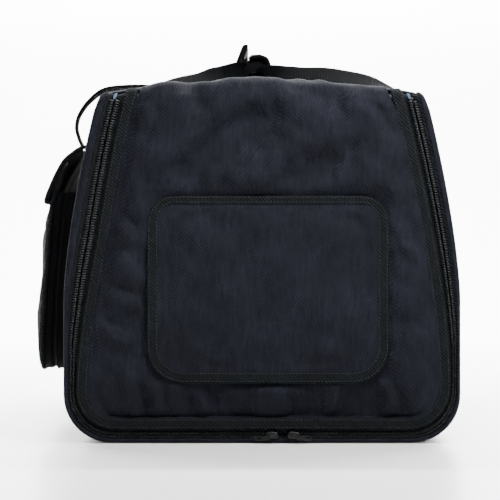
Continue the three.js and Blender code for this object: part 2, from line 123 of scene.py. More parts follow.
# ---------- points ----------
def unit(vectors):
    """The same directions with length one."""
    return vectors / np.maximum(np.linalg.norm(vectors, axis=-1, keepdims=True), 1e-9)


def space(x, y, z):
    """Points from their three parts, each a number or an array."""
    return np.stack(np.broadcast_arrays(x, y, z), axis=-1).astype(float)


def upright(flat, y):
    """Points of an outline in X and Z, put at a place along Y."""
    return space(flat[..., 0], y, flat[..., 1])


def run_along(line):
    """The way along a line to each of its points."""
    return np.concatenate([[0], np.cumsum(np.linalg.norm(np.diff(line, axis=0), axis=1))])


def pick(spots, run, values):
    """Rows of values at places along a run."""
    return np.stack([np.interp(spots, run, column) for column in values.T], axis=1)


def close(line):
    return np.vstack([line, line[:1]])


def spline(points, steps):
    """A smooth curve through points of any dimension, steps pieces between each two."""
    points = np.asarray(points, float)
    ends = [2 * points[0] - points[1], *points, 2 * points[-1] - points[-2]]
    made = []
    for a, b, c, d in zip(ends, ends[1:], ends[2:], ends[3:]):
        for t in np.arange(steps) / steps:
            made.append(0.5 * (2 * b + (c - a) * t + (2 * a - 5 * b + 4 * c - d) * t ** 2
                               + (3 * b - a - 3 * c + d) * t ** 3))
    return np.array([*made, points[-1]])


def chaikin(points):
    """Cuts the corners of a closed outline twice, so that it turns smoothly."""
    points = np.asarray(points, float)
    for _ in range(2):
        after = np.roll(points, -1, axis=0)
        points = np.stack([points * 0.75 + after * 0.25, points * 0.25 + after * 0.75], 1)
        points = points.reshape(-1, 2)
    return points


def smooth_step(value, low, high):
    share = np.clip((value - low) / (high - low), 0, 1)
    return share * share * (3 - 2 * share)


def ripple(u, v, size, seed):
    """Soft irregular waves about one size across, from -1 to 1 or so."""
    draw = np.random.default_rng(seed)
    total = np.zeros_like(u)
    for _ in range(7):
        angle, bend, phase = draw.uniform(0, 2 * math.pi, 3)
        rate = 2 * math.pi / (size * draw.uniform(0.7, 1.8))
        ahead = u * math.cos(angle) + v * math.sin(angle)
        across = v * math.cos(angle) - u * math.sin(angle)
        total += np.sin(rate * ahead + 1.6 * np.sin(0.6 * rate * across + bend) + phase)
    return total / 7 ** 0.5


def creases(u, v, folds):
    """Folds, each from one point to another with a half width and a height."""
    total = np.zeros_like(u)
    for (u0, v0), (u1, v1), width, height in folds:
        length = math.hypot(u1 - u0, v1 - v0)
        way_u, way_v = (u1 - u0) / length, (v1 - v0) / length
        ahead = (u - u0) * way_u + (v - v0) * way_v
        side = ((v - v0) * way_u - (u - u0) * way_v) / width
        share = np.clip(ahead / length, 0, 1)
        beyond = np.maximum(np.maximum(-ahead, ahead - length), 0)
        fade = np.exp(-(beyond / width) ** 2) * (0.35 + 0.65 * np.sin(math.pi * share))
        total += height * fade * (np.exp(-side ** 2) - 0.55 * np.exp(-(side - 1.5) ** 2))
    return total


# ---------- meshes ----------
def make(name, points, faces, slot, body=None):
    """A new piece from points in millimetres, with its material and the body that it rides."""
    data = bpy.data.meshes.new(name)
    data.from_pydata((np.asarray(points, float).reshape(-1, 3) * MM).tolist(), [], faces)
    data.polygons.foreach_set("use_smooth", [True] * len(data.polygons))
    piece = bpy.data.objects.new(name, data)
    bpy.context.scene.collection.objects.link(piece)
    data.materials.append(LOOKS[slot])
    if body:
        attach(piece, body)
    return piece


def grid_faces(rows, cols, wrap=False, ring=False):
    """Quads of a grid; wrap joins the last column to the first, ring the last row to the first."""
    r = np.arange(rows if ring else rows - 1)[:, None]
    c = np.arange(cols if wrap else cols - 1)[None, :]
    after = (r + 1) % rows
    beside = (c + 1) % cols
    quads = [r * cols + c, r * cols + beside, after * cols + beside, after * cols + c]
    return np.stack(quads, axis=-1).reshape(-1, 4).tolist()


def sleeve_faces(rows, cols):
    """Quads of a sleeve whose last row is closed by one face."""
    return grid_faces(rows, cols, wrap=True) + [[(rows - 1) * cols + k for k in range(cols)]]


def outward(piece):
    """Turns the faces of a closed piece outward."""
    mesh = bmesh.new()
    mesh.from_mesh(piece.data)
    bmesh.ops.recalc_face_normals(mesh, faces=mesh.faces)
    mesh.to_mesh(piece.data)
    mesh.free()
    return piece


def band(name, rails, slot, body=None, ring=False):
    """A closed piece whose section is given by rails; ring joins its two ends."""
    points = np.stack(rails, axis=1)
    rows, cols = points.shape[:2]
    faces = grid_faces(rows, cols, wrap=True, ring=ring)
    if not ring:
        faces.append(list(range(cols))[::-1])
        faces.append([(rows - 1) * cols + k for k in range(cols)])
    return outward(make(name, points, faces, slot, body))


def settle(piece):
    """Puts a piece's modifiers into its mesh."""
    graph = bpy.context.evaluated_depsgraph_get()
    fresh = bpy.data.meshes.new_from_object(piece.evaluated_get(graph))
    piece.modifiers.clear()
    piece.data = fresh
    return piece


def thicken(piece, thickness, offset=-1.0, subdivide=0):
    """Gives a sheet its thickness, after smoothing it by subdivision."""
    if subdivide:
        step = piece.modifiers.new("smooth", "SUBSURF")
        step.levels = subdivide
        step.render_levels = subdivide
    step = piece.modifiers.new("thick", "SOLIDIFY")
    step.thickness = thickness * MM
    step.offset = offset
    step.use_even_offset = False
    return settle(piece)


def bevel(piece, width):
    step = piece.modifiers.new("bevel", "BEVEL")
    step.width = width * MM
    step.segments = 2
    step.limit_method = "ANGLE"
    return settle(piece)


def slab(name, outline, low, high, slot, body, width=0.8):
    """A face in X and Z made solid along Y, with rounded edges."""
    count = len(outline)
    points = [[x, y, z] for y in (low, high) for x, z in outline]
    faces = [list(range(count)), list(range(2 * count - 1, count - 1, -1))]
    faces += [[i, count + i, count + (i + 1) % count, (i + 1) % count] for i in range(count)]
    return bevel(outward(make(name, points, faces, slot, body)), width)


def beads(corners, rings):
    """Many small closed lumps, each of rings of six points; corners has one array for each."""
    points = np.stack(corners, axis=1)
    base = grid_faces(rings, 6, wrap=True)
    base += [list(range(6))[::-1], [(rings - 1) * 6 + k for k in range(6)]]
    faces = [[k + 6 * rings * i for k in face] for i in range(len(points)) for face in base]
    return points.reshape(-1, 3), faces


def points_of(mesh):
    """The points of a mesh in millimetres."""
    spots = np.zeros(len(mesh.vertices) * 3, np.float32)
    mesh.vertices.foreach_get("co", spots)
    return spots.reshape(-1, 3).astype(float) / MM


def put_points(piece, points):
    piece.data.vertices.foreach_set("co", (points * MM).astype(np.float32).ravel())
    piece.data.update()


def cut_faces(piece, inside, round_rim=None):
    """Deletes the faces whose middle is inside, and lets round_rim move the open edge."""
    mesh = bmesh.new()
    mesh.from_mesh(piece.data)
    gone = [face for face in mesh.faces if inside(face.calc_center_median() / MM)]
    bmesh.ops.delete(mesh, geom=gone, context="FACES")
    if round_rim:
        for vert in mesh.verts:
            if vert.is_boundary:
                round_rim(vert)
    mesh.to_mesh(piece.data)
    mesh.free()


# ---------- outlines ----------
COUNTS = dict(floor=30, corner=14, post=18, side=40, turn=7, arch=30)
TOP_START = sum(COUNTS[part] for part in ("floor", "corner", "post", "side"))


def arc(x, z, radius, start, end, count):
    angles = np.radians(np.linspace(start, end, count))
    return np.stack([x + radius * np.cos(angles), z + radius * np.sin(angles)], axis=1)


def half_section(half, shoulder, radius, top_half, top_break, top_radius, bottom, crown):
    """Right half of a closed outline in X and Z, from the bottom middle to the crown."""
    drop, rise = half - top_half, top_break - shoulder
    lean = math.degrees(math.atan(1.5 * drop / rise))
    turn = math.radians(lean)
    floor = np.linspace([0, bottom], [half - radius, bottom], COUNTS["floor"], endpoint=False)
    corner = arc(half - radius, bottom + radius, radius, -90, 0, COUNTS["corner"])
    post = np.linspace([half, bottom + radius], [half, shoulder], COUNTS["post"] + 1)[1:]
    share = (np.arange(COUNTS["side"]) + 1) / (COUNTS["side"] + 1)
    side = np.stack([half - drop * share ** 1.5, shoulder + rise * share], axis=1)
    centre = (top_half - top_radius * math.cos(turn), top_break - top_radius * math.sin(turn))
    over = arc(*centre, top_radius, lean, 82, COUNTS["turn"])
    edge_x, edge_z = over[-1]
    share = np.linspace(1, 0, COUNTS["arch"] + 1)[1:]
    arch = np.stack([edge_x * share, crown - (crown - edge_z) * share ** 2], axis=1)
    return np.concatenate([floor, corner, post, side, over, arch])


def whole(half):
    """The closed outline, from the bottom middle up the right and down the left."""
    return np.concatenate([half, half[1:-1][::-1] * [-1, 1]])


def normals(points, closed):
    """Inward normals of an outline that goes round with its inside on the left."""
    if closed:
        way = unit(np.roll(points, -1, axis=0) - np.roll(points, 1, axis=0))
    else:
        way = unit(np.gradient(points, axis=0))
    return np.stack([-way[:, 1], way[:, 0]], axis=1)


def inset(points, distance, closed=True):
    return points + normals(points, closed) * distance


def door_path(half):
    """The open run of an outline round the zip, from the left top corner to the right one."""
    right = half[:TOP_START + 1]
    way = unit(right[-1] - right[-2])
    rise = right[-1] + way * (np.arange(1, 11)[:, None] * RISE / 10)
    right = np.concatenate([right, rise])
    return np.concatenate([right[::-1] * [-1, 1], right[1:]])


def askew(x, z):
    """The door hangs a little askew: its left edge stands further in than its right."""
    shift = np.interp(z, [15, 60, 105, 200, 313, 345], [0, 3, 5, 8, 4.5, 4.5])
    return x + shift * np.clip(-x / 150, 0, 1)


BAG_HALF = half_section(**BAG)
DOOR_HALF = half_section(**DOOR)
BAG_LOOP = whole(BAG_HALF)
BAG_PATH = door_path(BAG_HALF)
DOOR_PATH = door_path(DOOR_HALF)
DOOR_PATH[:, 0] = askew(DOOR_PATH[:, 0], DOOR_PATH[:, 1])
TEETH_LINE = np.interp(DOOR_PATH[:, 1], [15, 60], [ZIP_LINE, ZIP_LINE_SIDE])[:, None]
MIDDLE = BAG_PATH + (DOOR_PATH - BAG_PATH) * TEETH_LINE
PATH_IN = normals(MIDDLE, closed=False)
DOOR_IN = normals(DOOR_PATH, closed=False)


def top_height(x):
    """Height of the bag's top at a place across it."""
    arch = BAG_HALF[TOP_START:][::-1]
    return np.interp(np.abs(x), arch[:, 0], arch[:, 1])


def wall_half(z):
    """Half width of the bag at a height on its side."""
    side = BAG_HALF[COUNTS["floor"] + COUNTS["corner"] - 1:TOP_START + 3]
    return np.interp(z, side[:, 1], side[:, 0])


def over_top(points):
    """Rolls what stands above the door's top edge back over onto the top of the bag."""
    x, y, z = points[..., 0], points[..., 1], points[..., 2]
    start = top_height(x) - EDGE_ROLL
    run = np.maximum(z - start, 0)
    angle = np.minimum(run / EDGE_ROLL, math.pi / 2)
    reach = EDGE_ROLL - (y - FRONT)
    rolled_y = FRONT + EDGE_ROLL - reach * np.cos(angle)
    rolled_y = rolled_y + np.maximum(run - EDGE_ROLL * math.pi / 2, 0)
    rolled_z = start + reach * np.sin(angle)
    return space(x, np.where(z > start, rolled_y, y), np.where(z > start, rolled_z, z))


def rail(share, offset, depth, inward=PATH_IN):
    """A line round the zip: a share of the way to the door, an offset, and a depth."""
    flat = BAG_PATH + (DOOR_PATH - BAG_PATH) * share + inward * offset
    return over_top(upright(flat, FRONT + depth))


# ---------- materials ----------
def give(tree, node, inputs):
    """Sets a node's inputs, each to a value or to another node's output."""
    for name, value in inputs.items():
        if isinstance(value, bpy.types.NodeSocket):
            tree.links.new(value, node.inputs[name])
        else:
            node.inputs[name].default_value = value


def add_node(tree, kind, inputs):
    node = tree.nodes.new(f"ShaderNode{kind}")
    give(tree, node, inputs)
    return node


def nodes_of(name):
    look = bpy.data.materials.new(name)
    look.use_nodes = True
    tree = look.node_tree
    place = add_node(tree, "TexCoord", {}).outputs["Object"]
    return look, tree, tree.nodes["Principled BSDF"], place


def waves(tree, place, scale, turn=(1, 1, 1), direction="DIAGONAL", wobble=1.2):
    """Parallel ridges; turn flips axes, which changes the way the ridges run."""
    spin = add_node(tree, "Mapping", {"Vector": place, "Scale": turn})
    ridges = add_node(tree, "TexWave", {
        "Vector": spin.outputs["Vector"], "Scale": scale, "Distortion": wobble,
        "Detail": 1.0, "Detail Scale": 0.4})
    ridges.bands_direction = direction
    return ridges.outputs["Fac"]


def noise(tree, place, scale, detail=3.0, rough=0.55):
    spots = add_node(tree, "TexNoise", {
        "Vector": place, "Scale": scale, "Detail": detail, "Roughness": rough})
    return spots.outputs["Fac"]


def streaks(tree, place, scale):
    """Noise drawn out along the upright threads."""
    long = add_node(tree, "Mapping", {"Vector": place, "Scale": (1.0, 1.0, 0.2)})
    return noise(tree, long.outputs["Vector"], scale, detail=3.0, rough=0.6)


def blend_of(tree, *parts):
    """A sum of outputs, each with its share."""
    total = None
    for output, share in parts:
        total = maths(tree, "MULTIPLY_ADD", output, share, total or 0.0)
    return total


def maths(tree, kind, *values):
    step = tree.nodes.new("ShaderNodeMath")
    step.operation = kind
    give(tree, step, dict(enumerate(values)))
    return step.outputs[0]


def ramp(tree, factor, stops):
    """A colour that goes through stops of (place, colour)."""
    bar = add_node(tree, "ValToRGB", {"Fac": factor})
    while len(bar.color_ramp.elements) < len(stops):
        bar.color_ramp.elements.new(0.5)
    for element, (spot, colour) in zip(bar.color_ramp.elements, stops):
        element.position = spot
        element.color = (*colour, 1)
    return bar.outputs["Color"]


def scaled(colour, by):
    return tuple(min(1.0, c * by) for c in colour)


def bumps(tree, *layers):
    """The surface's normal under layers of (height, strength, distance in millimetres)."""
    under = {}
    for height, strength, distance in layers:
        step = add_node(tree, "Bump", {
            "Height": height, "Strength": strength, "Distance": distance * MM, **under})
        under = {"Normal": step.outputs["Normal"]}
    return under["Normal"]


def woven(name, colour, fine, rough=0.72, sheen=0.05, deep=0.5, ribs=None, gleam=0.08):
    """Woven cloth: crossed diagonal threads, slubs and worn patches, all by object place."""
    look, tree, shader, place = nodes_of(name)
    one = waves(tree, place, fine)
    two = waves(tree, place, fine * 0.93, turn=(1, 1, -1))
    slubs = noise(tree, place, fine * 1.4, detail=2.0)
    worn = noise(tree, place, 30.0, detail=5.0)
    drawn = streaks(tree, place, fine * 1.6)
    weave = blend_of(tree, (maths(tree, "MULTIPLY", one, two), 0.55), (slubs, 0.45))
    tone = blend_of(tree, (weave, 0.35), (worn, 0.35), (drawn, 0.42))
    stops = [(0.34, scaled(colour, 0.4)), (0.54, colour), (0.76, scaled(colour, 2.3))]
    layers = [(weave, deep, 0.35), (drawn, deep * 0.6, 0.6), (worn, 0.18, 1.2)]
    if ribs:
        layers.append((waves(tree, place, *ribs), 0.9, 0.7))
    give(tree, shader, {
        "Base Color": ramp(tree, tone, stops),
        "Roughness": maths(tree, "MULTIPLY_ADD", worn, 0.22, rough - 0.11),
        "Sheen Weight": sheen, "Sheen Roughness": 0.45,
        "Sheen Tint": (*scaled(colour, 9.0), 1),
        "Specular IOR Level": gleam, "Normal": bumps(tree, *layers)})
    return look


def fuzzy(name, colour, scale):
    """Foam, hook and loop tape, and other surfaces that are a mass of small grains."""
    look, tree, shader, place = nodes_of(name)
    grains = noise(tree, place, scale, detail=4.0, rough=0.7)
    stops = [(0.3, scaled(colour, 0.5)), (0.7, scaled(colour, 1.5))]
    give(tree, shader, {
        "Base Color": ramp(tree, grains, stops), "Roughness": 0.95, "Sheen Weight": 0.1,
        "Normal": bumps(tree, (grains, 0.8, 0.6))})
    return look


def moulded(name, colour, rough, metal=0.0, grain=900.0, gleam=0.5):
    """Nylon or metal with fine scratches and uneven gloss."""
    look, tree, shader, place = nodes_of(name)
    spots = noise(tree, place, grain, detail=2.0)
    wear = noise(tree, place, 140.0, detail=6.0, rough=0.65)
    stops = [(0.3, scaled(colour, 0.75)), (0.75, scaled(colour, 1.5))]
    give(tree, shader, {
        "Base Color": ramp(tree, wear, stops),
        "Roughness": maths(tree, "MULTIPLY_ADD", wear, 0.25, rough - 0.12),
        "Metallic": metal, "Specular IOR Level": gleam,
        "Normal": bumps(tree, (spots, 0.15, 0.1))})
    return look


LOOKS = {
    "twill": woven("twill_cloth", (0.0062, 0.0068, 0.0105), 170.0, rough=0.84, deep=0.9),
    "binding": woven("binding_tape", (0.0042, 0.0052, 0.0062), 300.0, rough=0.8,
                     ribs=(170.0, (1, 1, 1), "DIAGONAL", 1.5)),
    "webbing": woven("handle_webbing", (0.0020, 0.0025, 0.0028), 420.0, rough=0.95,
                     ribs=(105.0, (1, 1, 1), "X", 0.2), gleam=0.03, sheen=0.0),
    "black_cloth": woven("black_cloth", (0.0018, 0.0019, 0.0024), 430.0, rough=0.8, gleam=0.06),
    "elastic": woven("cuff_elastic", (0.0080, 0.0080, 0.0100), 480.0, rough=0.75,
                     ribs=(260.0, (1, 1, 1), "Y", 0.2)),
    "foam": fuzzy("pad_foam", (0.060, 0.064, 0.072), 700.0),
    "hook_loop": fuzzy("hook_loop_tape", (0.0060, 0.0065, 0.0070), 1500.0),
    "board": moulded("base_board", (0.020, 0.020, 0.021), 0.62),
    "zip_nylon": moulded("zip_nylon", (0.0058, 0.0066, 0.0078), 0.5, grain=1400.0, gleam=0.3),
    "zip_metal": moulded("zip_metal", (0.0042, 0.0043, 0.0048), 0.4, metal=0.1, gleam=0.25),
    # painted highlight in part: this light blue is partly the tape ends' own colour and partly a
    # highlight painted into it, much brighter than the other cloths
    "tape_end": woven("tape_end", (0.06, 0.085, 0.14), 600.0, rough=0.8),
    "thread": moulded("thread", (0.0120, 0.0145, 0.0160), 0.7, grain=2500.0, gleam=0.2),
}


# ---------- cloth ----------
def inflate(piece, pinned, pressure, grow, cap):
    """Lets the cloth fill and wrinkle with its pinned points held, then keeps that shape."""
    hold = piece.vertex_groups.new(name="hold")
    hold.add([int(i) for i in np.flatnonzero(pinned)], 1.0, "REPLACE")
    cloth = piece.modifiers.new("cloth", "CLOTH")
    rules = dict(quality=5, mass=0.3, tension_stiffness=12.0, compression_stiffness=12.0,
                 shear_stiffness=4.8, bending_stiffness=0.4, use_pressure=True,
                 uniform_pressure_force=pressure, vertex_group_mass="hold", shrink_min=-grow)
    for name, value in rules.items():
        setattr(cloth.settings, name, value)
    cloth.settings.effector_weights.gravity = 0
    cloth.point_cache.frame_start = 1
    cloth.point_cache.frame_end = SIM_FRAMES
    for number in range(1, SIM_FRAMES + 1):
        bpy.context.scene.frame_set(number)
    graph = bpy.context.evaluated_depsgraph_get()
    rest = points_of(piece.data)
    shift = points_of(piece.evaluated_get(graph).to_mesh()) - rest
    piece.evaluated_get(graph).to_mesh_clear()
    shift[~np.isfinite(shift)] = 0
    size = np.linalg.norm(shift, axis=1, keepdims=True)
    limit = np.asarray(cap, float).reshape(-1, 1)
    shift *= np.tanh(size / limit) * limit / np.maximum(size, 1e-6)
    piece.modifiers.remove(cloth)
    piece.vertex_groups.clear()
    bpy.context.scene.frame_set(1)
    put_points(piece, rest + shift)


# ---------- stitches ----------
def stitch_row(line, out):
    """Small raised threads along a line; out is the direction that the cloth faces."""
    run = run_along(line)
    spots = np.arange(STITCH["pitch"], run[-1] - STITCH["pitch"] / 2, STITCH["pitch"])
    middle = pick(spots, run, line)
    way = unit(pick(spots + 0.5, run, line) - middle)
    face = unit(pick(spots, run, out))
    side = np.cross(way, face)
    rings = [(-0.5, 0.35, -0.1), (-0.3, 0.9, 0.25), (0.3, 0.9, 0.25), (0.5, 0.35, -0.1)]
    corners = []
    for share, wide, lift in rings:
        centre = middle + way * share * STITCH["length"] + face * lift
        for angle in SIXTHS:
            swing = side * math.cos(angle) + face * math.sin(angle)
            corners.append(centre + swing * STITCH["radius"] * wide)
    return beads(corners, len(rings))


def stitches(name, rows, body=None):
    """Several rows of stitches as one piece."""
    points, faces = [], []
    for line, out in rows:
        more, added = stitch_row(line, out)
        start = sum(len(p) for p in points)
        points.append(more)
        faces += [[k + start for k in face] for face in added]
    return make(name, np.concatenate(points), faces, "thread", body)


# ---------- bag body ----------
CENTRE = np.array([0, MID_Z])
AXIS_Z = 180.0  # the shell swells away from a line along the bag at this height


def bend_door(piece):
    """Cloth that is sewn to the bag along the top and hangs as the door below; only bakes its
    placement into its mesh, without tying it to the door's body.
    """
    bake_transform(piece)


def held_out(rest, moved, slack):
    """Keeps cloth from sinking into the foam behind it by more than a little slack."""
    out = unit((rest - [0, 0, AXIS_Z]) * [1, 0, 1])
    sunk = np.minimum(np.sum((moved - rest) * out, axis=1) + slack, 0)
    return moved - out * sunk[:, None]


def bag_shell():
    """The whole soft wall: base, sides and top as one sleeve of padded cloth."""
    outline = close(BAG_LOOP)
    run = run_along(outline)
    count = int(run[-1] / CLOTH_STEP)
    loop = pick(np.linspace(0, run[-1], count, endpoint=False), run, outline)
    rows = np.concatenate([[WALL_FRONT - 1.5, WALL_FRONT - 1], np.arange(WALL_FRONT, 293, 5.5),
                           [294.5, 297.0, 298.6]])
    roll = np.interp(rows, [290, 295, 298.6], [0, 1.2, 4.2])
    dip = np.interp(rows, [WALL_FRONT, WALL_FRONT + 14], [1.3, 0.2])
    flat = loop + normals(loop, closed=True) * (roll + dip)[:, None, None]
    points = upright(flat, rows[:, None]).reshape(-1, 3)
    piece = make("bag_shell", points, grid_faces(len(rows), count, wrap=True), "twill")
    x, y, z = points.T
    base = (z < 3) & (np.abs(x) < 140)
    ends = (y < WALL_FRONT + 3) | (y > 291)
    pocket = (x < -150) & (np.abs(y) < 172) & (z > 55)
    inflate(piece, ends | base, 3.0, 0.022, np.where(pocket, 2.0, 6.5))
    points = held_out(points, points_of(piece.data), 1.4)
    x, y, z = points.T
    turn = np.arctan2(z - AXIS_Z, x)
    around = turn * 190
    uneven = ripple(around, y * 0.7, 95, 4) * 1.1 + ripple(around, y, 38, 9) * 0.35
    hold = smooth_step(y, WALL_FRONT, WALL_FRONT + 30) * (1 - smooth_step(y, 270, 294))
    hold = hold * np.where(z < 3, 0.15, 1) * np.where(pocket, 0.5, 1)
    out = space(np.cos(turn), 0, np.sin(turn))
    put_points(piece, points + out * (uneven * hold)[:, None])
    thicken(piece, 1.3, offset=1.0, subdivide=1)
    outward(piece)
    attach(piece, "bag_body")
    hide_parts("base_panel", "left_wall_panel", "right_wall_panel", "top_panel")


def pillow(name, y_rim, y_crown, depth, slot, seed, height=1.0):
    """A closed end panel that swells towards its middle, from rings drawn in to its centre."""
    edge = inset(BAG_LOOP, depth)[::2]
    rings = np.concatenate([[1.0, 0.992, 0.98], np.linspace(0.96, 0.02, 46)])[:, None]
    flat = CENTRE + (edge - CENTRE) * rings[:, :, None]
    x, z = flat[..., 0], flat[..., 1]
    swell = 1 - rings ** 5
    crumple = ripple(x, z, 120, seed) * 1.3 + ripple(x, z, 42, seed + 1) * 0.45
    bulge = swell * (y_crown - y_rim) + crumple * np.minimum(1, swell * 2) * height
    return make(name, space(x, y_rim + bulge, z), sleeve_faces(*x.shape), slot)


def rear_end():
    """The end panel, the foam behind it and the cord round it."""
    panel = pillow("rear_panel_cloth", 299.0, 304.5, 4.2, "twill", 21)
    thicken(panel, 1.2)
    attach(panel, "bag_body")
    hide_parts("rear_panel")
    pad = pillow("rear_pad", 290.0, 296.5, 7.5, "foam", 23, height=0.4)
    thicken(pad, 3.0, offset=1.0)
    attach(pad, "bag_body")
    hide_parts("rear_foam")
    rails = []
    for angle in TWELFTHS:
        flat = inset(BAG_LOOP, 2.6 - 2.2 * math.cos(angle))
        rails.append(upright(flat, 298.6 + 2.2 * math.sin(angle)))
    piping = band("rear_piping_cord", rails, "binding", "bag_body", ring=True)
    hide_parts("rear_piping")


def wall_padding():
    """Foam sleeve between the outer cloth and the lining."""
    rows = np.linspace(WALL_FRONT + 0.5, 285, 60)
    loop = BAG_LOOP[::2]
    outer, inner = [[upright(inset(loop, depth), y) for y in rows] for depth in (5.4, 9.4)]
    piece = band("wall_padding", outer + inner[::-1], "foam", "bag_body", ring=True)
    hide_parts("base_foam", "left_wall_foam", "right_wall_foam", "top_foam")


def lining():
    """Black light-tight lining: a sleeve with a closed end, sewn in along the front."""
    rows = np.concatenate([np.linspace(WALL_FRONT, 278, 100), [282, 284.6]])
    flat = inset(BAG_LOOP[::2], 11.2)
    y, around = np.meshgrid(rows, np.arange(len(flat)) * 3.0, indexing="ij")
    sag = 1.0 + ripple(around, y, 90, 41) * 0.8 + ripple(around, y, 34, 42) * 0.35
    sag *= smooth_step(y, WALL_FRONT, WALL_FRONT + 25)
    sag = np.maximum(sag + np.interp(y, [278, 284.6], [0, 5]), 0)
    tube = flat + normals(flat, closed=True) * sag[..., None]
    end = CENTRE + (tube[-1] - CENTRE) * np.linspace(0.97, 0.02, 30)[:, None, None]
    dent = 283.4 - ripple(end[..., 0], end[..., 1], 80, 43)
    points = np.concatenate([upright(tube, y), upright(end, dent)])
    faces = sleeve_faces(*points.shape[:2])
    piece = make("lining_cloth", points, faces, "black_cloth", "bag_body")
    thicken(piece, 0.8)
    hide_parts("chamber_lining")


# ---------- zip round the door ----------
def zip_bands():
    """The bag's rolled rim and the zip's two tapes; each section is share, offset, depth."""
    rim = [
        (0.0, 0.2, 14.0), (0.0, -0.2, 9.0), (0.0, 0.0, 4.6), (0.0, 0.6, 2.0), (0.0, 1.8, 0.5),
        (0.14, 1.2, -0.2), (0.24, 0.8, 0.0), (0.29, 0.5, 0.8), (0.3, 0.4, 2.2), (0.28, 0.4, 4.0),
        (0.1, 0.5, 6.5), (0.1, 2.0, 14.0)]
    piece = band("zip_rim_roll", [rail(*spot) for spot in rim], "twill", "bag_body")
    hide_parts("zip_rim_band", "top_corner_left", "top_corner_right")
    outer = [
        (0.2, 0.4, 2.0), (0.33, 0.2, 1.5), (0.42, 0.1, 1.7), (0.47, 0.0, 3.0), (0.6, 0.0, 4.4),
        (0.56, 0.0, 4.9), (0.42, 0.2, 3.8), (0.2, 0.6, 3.6)]
    tape = band("zip_tape_body", [rail(*spot) for spot in outer], "binding", "bag_body")
    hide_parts("zip_stringer_body")
    inner = [
        (0.68, 0.0, 4.4), (0.76, 0.0, 4.2), (0.92, 0.0, 3.6), (1.0, 2.0, 3.0), (1.0, 8.0, 3.2),
        (1.0, 8.0, 4.2), (1.0, 2.0, 4.2), (0.92, 0.0, 4.6), (0.76, 0.0, 4.9)]
    tape = band("zip_tape_door", [rail(*spot) for spot in inner], "binding")
    bend_door(tape)
    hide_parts("zip_stringer_door")


def teeth(name, side, shift, body=None):
    """One row of coil teeth, each a small arched bead set across the zip."""
    run = run_along(MIDDLE)
    spots = np.arange(shift, run[-1], TOOTH_PITCH)
    low, high, line = [pick(spots, run, path) for path in (BAG_PATH, DOOR_PATH, MIDDLE)]
    gap_from, gap_to = SLIDERS["left"][0] - 6.2, SLIDERS["right"][0] + 6.2
    under_slider = (line[:, 1] < 20) & (line[:, 0] > gap_from) & (line[:, 0] < gap_to)
    keep = (line[:, 1] < TEETH_TOP) & ~under_slider
    low, high, line = low[keep], high[keep], line[keep]
    inward = normals(line, closed=False)
    gap = np.sum((high - low) * inward, axis=1, keepdims=True)
    across = upright(inward, 0)
    way = space(-inward[:, 1], 0, inward[:, 0])
    front = np.array([[0, -1.0, 0]])
    centre = upright(line, FRONT + 2.6)
    rings = [(0.0, 0.6, 0.4, -0.9), (0.12, 1.0, 0.95, -0.1), (0.45, 1.0, 1.1, 0.7),
             (0.8, 1.05, 1.15, 0.75), (0.95, 0.95, 0.9, 0.3), (1.0, 0.5, 0.45, 0.0)]
    corners = []
    for share, wide, tall, lift in rings:
        reach = side * (COIL_SHARE * gap * (1 - share) + TEETH_PART * share)
        for angle in SIXTHS:
            rise = front * (lift + 1.45 * tall * math.sin(angle))
            corners.append(centre + across * reach + rise + way * 0.88 * wide * math.cos(angle))
    return make(name, *beads(corners, len(rings)), "zip_nylon", body)


def teeth_rows():
    teeth("teeth_body", -1, TOOTH_PITCH * 0.5, "bag_body")
    bend_door(teeth("teeth_door", 1, TOOTH_PITCH))


def tape_ends():
    """The zip's cut upper ends, folded aslant above the last teeth."""
    outline = np.array([[146.4, 344.6], [149.0, 343.8], [148.2, 350.0], [144.8, 352.0]])
    # their material's light blue is partly their own colour and partly a painted highlight
    for word, side in (("left", -1), ("right", 1)):
        piece = slab(f"zip_tape_end_{word}", outline * [side, 1], FRONT + 0.6, FRONT + 2.2,
                     "tape_end", None, 0.4)
        put_points(piece, over_top(points_of(piece.data)))
        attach(piece, "bag_body")
        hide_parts(f"zip_end_{word}")


def plate(name, x, z, tall, y_near, y_far, body):
    """A small plate with full round ends, wider at one end, and soft edges."""
    half, small = tall / 2, tall * 0.4
    reach = 6.5  # half its length
    outline = np.concatenate([arc(x + reach - small, z, small, -90, 90, 9),
                              arc(x - reach + half, z, half, 90, 270, 9)])
    return slab(name, outline, y_near, y_far, "zip_metal", body, 0.7)


def slider_set():
    """The two sliders: a face, a back, the neck between them and a bridge for the pull."""
    mid_z = MIDDLE[len(MIDDLE) // 2][1]
    for word, (x, way) in SLIDERS.items():
        body = f"zip_slider_{word}"
        front = plate(f"slider_face_{word}", x, mid_z, 7.6, FRONT - 3.2, FRONT - 0.1, body)
        rear = plate(f"slider_back_{word}", x, mid_z, 7.4, FRONT + 5.4, FRONT + 6.8, body)
        corners = np.array([[-1.6, -0.25], [1.6, -0.25], [1.6, 0.25], [-1.6, 0.25]])
        neck = slab(f"slider_neck_{word}", corners + [x, mid_z], FRONT - 1.0, FRONT + 6.0,
                    "zip_metal", body, 0.1)
        arch = [[-3.6, -3.0], [-3.0, -4.7], [0, -5.2], [3.0, -4.7], [3.6, -3.0]]
        arch = spline(np.array(arch) * [way, 1] + [x, FRONT], 5)
        rails = [space(arch[:, 0], arch[:, 1] + 0.45 * math.sin(angle),
                       mid_z + 1.5 * math.cos(angle)) for angle in EIGHTHS]
        bridge = band(f"slider_bridge_{word}", rails, "zip_metal", body)
        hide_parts(f"slider_{word}")
        pull_set(word, x, way, mid_z)
        for part in (rear, neck, bridge):
            part.parent = front.parent


